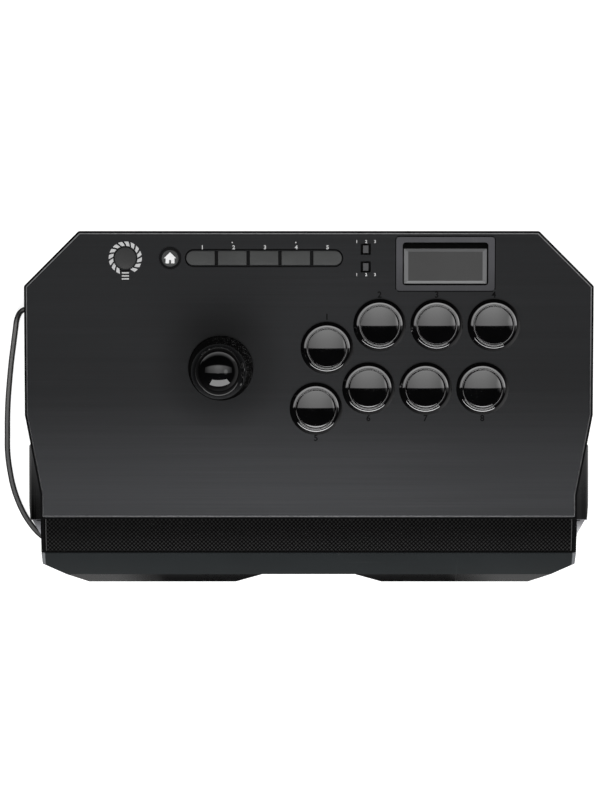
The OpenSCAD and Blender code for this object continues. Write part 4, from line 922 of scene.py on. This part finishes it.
def key_marks():
    """Numbers of the keys and the slide switches, and ticks and bars round the options button."""
    bm = bmesh.new()
    for k, (u, v) in enumerate(KEYS):
        words(bm, str(k + 1), 3.5, u + 1.2 - k * 0.3, v + 6.85, 0.11)
    mode_u, mode_v = middle("mode_slider")
    stick_u, stick_v = middle("stick_slider")
    for k, off in enumerate((-5.8, 0.3, 6.0)):
        words(bm, str(k + 1), 2.7, mode_u + off, mode_v + 4.85, 0.09)
        words(bm, str(k + 1), 2.7, stick_u + off, stick_v - 5.05, 0.09)
    # a slanted tick, as radius and angle
    inner = 7.9
    outer = 10.7
    between = (inner + outer) / 2
    tick = [(inner, -0.17), (between, -0.08), (outer, 0.0), (outer, 0.13),
            (outer, 0.26), (between, 0.18), (inner, 0.09), (inner, -0.04)]
    for k in range(16):
        turn = math.radians(90 + 22.5 * (k + 0.5))
        # the ring of ticks is open at the front
        if math.sin(turn) > -0.92:
            outline = [(r * math.cos(turn + a), r * math.sin(turn + a)) for r, a in tick]
            slab(bm, outline, PRINT_LOW, PRINT_HIGH, on_plate(OPTIONS_U, KEY_V))
    for k in (-1, 0, 1):
        v = KEY_V - 11.45 + k * 1.95
        oblong(bm, OPTIONS_U - 2.3, OPTIONS_U + 2.3, v - 0.42, v + 0.42, PRINT_LOW, PRINT_HIGH)
    mesh_piece("key_marks", bm, "housing", "pale_ink")


def home_sign(size=1.3):
    """Plain house sign on the home button."""
    house = [(-0.5, -2.6), (-0.5, -0.9), (0.5, -0.9), (0.5, -2.6), (2.2, -2.6), (2.2, -0.1),
             (3.1, -0.1), (0, 2.9), (-3.1, -0.1), (-2.2, -0.1), (-2.2, -2.6)]
    u, v = middle("home_button")
    bm = bmesh.new()
    slab(bm, [(size * x, size * y) for x, y in house], 0.8, 0.84, on_plate(u, v))
    mesh_piece("home_sign", bm, "home_button_body", "sign_white")


def key_gap_shade(low_w=0.005, high_w=0.02, grow=0.6, lap=0.1):
    """Black bands round the row of keys, the options button and the touchpad's bezel, as painted shade in
    the gaps there.

    They lie between low_w and high_w, stand out by grow and reach under the part by lap."""
    bm = bmesh.new()
    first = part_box("function_key_1")
    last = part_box("function_key_5")
    half = (first[1][1] - first[0][1]) / 2 / MM
    capsule = []
    for u, start in ((last[1][0] / MM - half, -90), (first[0][0] / MM + half, 90)):
        for k in range(25):
            capsule.append((u, math.radians(start + 180 * k / 24)))
    rings = []
    for r, w in ((half + grow, low_w), (half + grow, high_w), (half - lap, high_w), (half - lap, low_w)):
        rings.append(ring(bm, [(u + r * math.cos(a), KEY_V + r * math.sin(a), w) for u, a in capsule]))
    hoop(bm, rings)
    low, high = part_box("options_button")
    r = (high[0] - low[0]) / 2 / MM
    lathe(bm, [(r - lap, low_w), (r + grow, low_w), (r + grow, high_w), (r - lap, high_w)],
          on_plate(OPTIONS_U, KEY_V), 64)
    low, high = plate_box("touch_bezel")
    corner = 0.8
    for u in (low[0] - grow, high[0] - lap):
        oblong(bm, u, u + grow + lap, low[1] + corner, high[1] - corner, low_w, high_w)
    for v in (low[1] - grow, high[1] - lap):
        oblong(bm, low[0] + corner, high[0] - corner, v, v + grow + lap, low_w, high_w)
    mesh_piece("key_gap_shade", bm, "housing", "rubber_black")


def key_lamps():
    """Small lamps behind two of the keys."""
    profile = [(0.01, 0.0), (0.5, 0.0), (0.5, 0.05), (0.35, 0.16), (0.01, 0.2)]
    bm = bmesh.new()
    for u, v in (KEYS[1], KEYS[3]):
        lathe(bm, profile, on_plate(u, v + 10.1), 24)
    mesh_piece("key_lamps", bm, "housing", "lamp_lens")


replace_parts(lever_coil(), "lever_spring")
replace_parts(button_rims(), "button_cases")
for k, (u, v) in enumerate(BUTTONS, 1):
    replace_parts(button_cap(k, u, v), "plunger_%d" % k)
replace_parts(touch_surface(), "touchpad")
panel_edge()
bar_gasket()
button_numbers()
key_marks()
home_sign()
key_gap_shade()
key_lamps()


def floor_material(name):
    """White table with a soft shade round the body, which the body's glossy sides reflect in part, with a
    painted shade under the arch.
    """
    material = bpy.data.materials.new(name)
    material.use_nodes = True
    tree = material.node_tree
    tree.nodes.clear()
    out = tree.nodes.new("ShaderNodeOutputMaterial")
    white = tree.nodes.new("ShaderNodeBsdfDiffuse")
    glow = tree.nodes.new("ShaderNodeEmission")
    both = tree.nodes.new("ShaderNodeAddShader")
    rays = tree.nodes.new("ShaderNodeLightPath")
    seen = Num(tree, rays.outputs["Is Camera Ray"])
    shine = Num(tree, rays.outputs["Is Glossy Ray"]).max(Num(tree, rays.outputs["Is Transmission Ray"]))
    x, y = axes(tree)[:2]
    # how far outside the body's rectangle
    away = (x.abs() - 184 * MM).max(y.abs() - 115 * MM)
    close = away.over(450 * MM, 50 * MM)
    shaded = close * y.over(115 * MM, 60 * MM)
    # painted shade: to glossy rays the table under the arch is dark, ending in slanting lines, as the body's
    # shade would
    arch = (x - (y + 121 * MM) * 0.65 - 1.6 * MM).abs()
    bright = arch.over(97.5 * MM, 98.5 * MM) * (arch.over(100 * MM, 130 * MM) * 0.75 + 0.25)
    bright = bright.max(y.abs().over(133 * MM, 138 * MM))
    reflected = shine * away.over(140 * MM, 20 * MM) * bright * 1.1
    put(tree, white.inputs[0], mix(tree, close * shine.rest(), grey(0.03), grey(0.36)))
    put(tree, glow.inputs[1], seen * (shaded * -0.18 + 1.0) + reflected)
    tree.links.new(white.outputs[0], both.inputs[0])
    tree.links.new(glow.outputs[0], both.inputs[1])
    tree.links.new(both.outputs[0], out.inputs[0])
    return material


# floor
bm = bmesh.new()
bmesh.ops.create_grid(bm, x_segments=4, y_segments=4, size=14)
mesh = bpy.data.meshes.new("floor")
bm.to_mesh(mesh)
bm.free()
mesh.materials.append(floor_material("floor_white"))
floor = bpy.data.objects.new("floor", mesh)
SCENE.collection.objects.link(floor)


def studio():
    """Sky with soft boxes for reflections, white to the camera and where a glossy side meets the horizon."""
    world = bpy.data.worlds.new("studio")
    SCENE.world = world
    world.use_nodes = True
    tree = world.node_tree
    tree.nodes.clear()
    out = tree.nodes.new("ShaderNodeOutputWorld")
    sky = tree.nodes.new("ShaderNodeBackground")
    tree.links.new(sky.outputs[0], out.inputs[0])
    x, y, z = axes(tree, coords(tree, kind="Generated"))
    # soft box overhead, with a sharp front edge, on a ceiling one unit up
    up = z.max(0.02)
    ceiling_x = x / up
    ceiling_y = y / up
    off = ceiling_x.abs()
    over_head = z.over(0.1, 0.2)
    top = ceiling_y.over(-0.125, -0.112) * (ceiling_y.over(-0.12, 0.4) * 0.35 + 0.8)
    top = top * ceiling_y.over(0.56, 0.42) * (off.over(1.5, 0.4) * 0.75 + 0.25)
    top = top * (off.over(0.5, 0.05) * 0.3 + 0.7) * off.over(1.65, 1.5) * over_head
    # a brighter spot in it, to the right
    spot_x = ceiling_x - 0.62
    spot_y = ceiling_y + 0.02
    spot = (spot_x * spot_x + spot_y * spot_y).over(0.07, 0.0) * over_head
    # low wash behind, on a wall one unit away
    behind = y.max(0.02)
    wall_x = x / behind
    wall_z = z / behind
    wash = wall_x.abs().over(1.7, 1.1) * wall_z.over(-0.05, 0.0)
    wash = wash * (wall_z.over(0.42, 0.05) + wall_z.over(0.12, 0.02) * 0.6) * y.over(0.1, 0.3)
    # low light on the right, and a faint one all round but on the left
    right = x.over(0.3, 0.9) * z.over(0.36, 0.2)
    low = z.over(0.4, 0.1) * x.over(-0.9, 0.0)
    light = top * 1.55 + spot * (top * 0.8 + 0.5) * 1.2 + wash * 0.8 + right * 0.15 + low * 0.15 + 0.006
    rays = tree.nodes.new("ShaderNodeLightPath")
    seen = Num(tree, rays.outputs["Is Camera Ray"])
    shine = Num(tree, rays.outputs["Is Glossy Ray"]).max(Num(tree, rays.outputs["Is Transmission Ray"]))
    far = shine * z.abs().over(0.05, 0.02) * y.over(0.3, 0.6)
    put(tree, sky.inputs[1], light * seen.max(far).rest() + far.max(seen * 1.25))


def area(name, where, at, size, power):
    """A rectangular lamp that looks at a place."""
    light = bpy.data.lights.new(name, "AREA")
    light.shape = "RECTANGLE"
    light.size, light.size_y = size
    light.energy = power
    o = bpy.data.objects.new(name, light)
    o.location = where
    o.rotation_euler = (Vector(where) - Vector(at)).to_track_quat("Z", "Y").to_euler()
    SCENE.collection.objects.link(o)
    return o


studio()
area("front_box", (0.0, -0.345, 0.428), (0.0, 0.3, 0.35), (0.66, 0.296), 2.0)
# soft fill, kept out of reflections
fill = area("front_fill", (0.0, -0.55, 0.75), (0.0, 0.0, 0.03), (1.2, 0.8), 17.0)
fill.visible_glossy = False
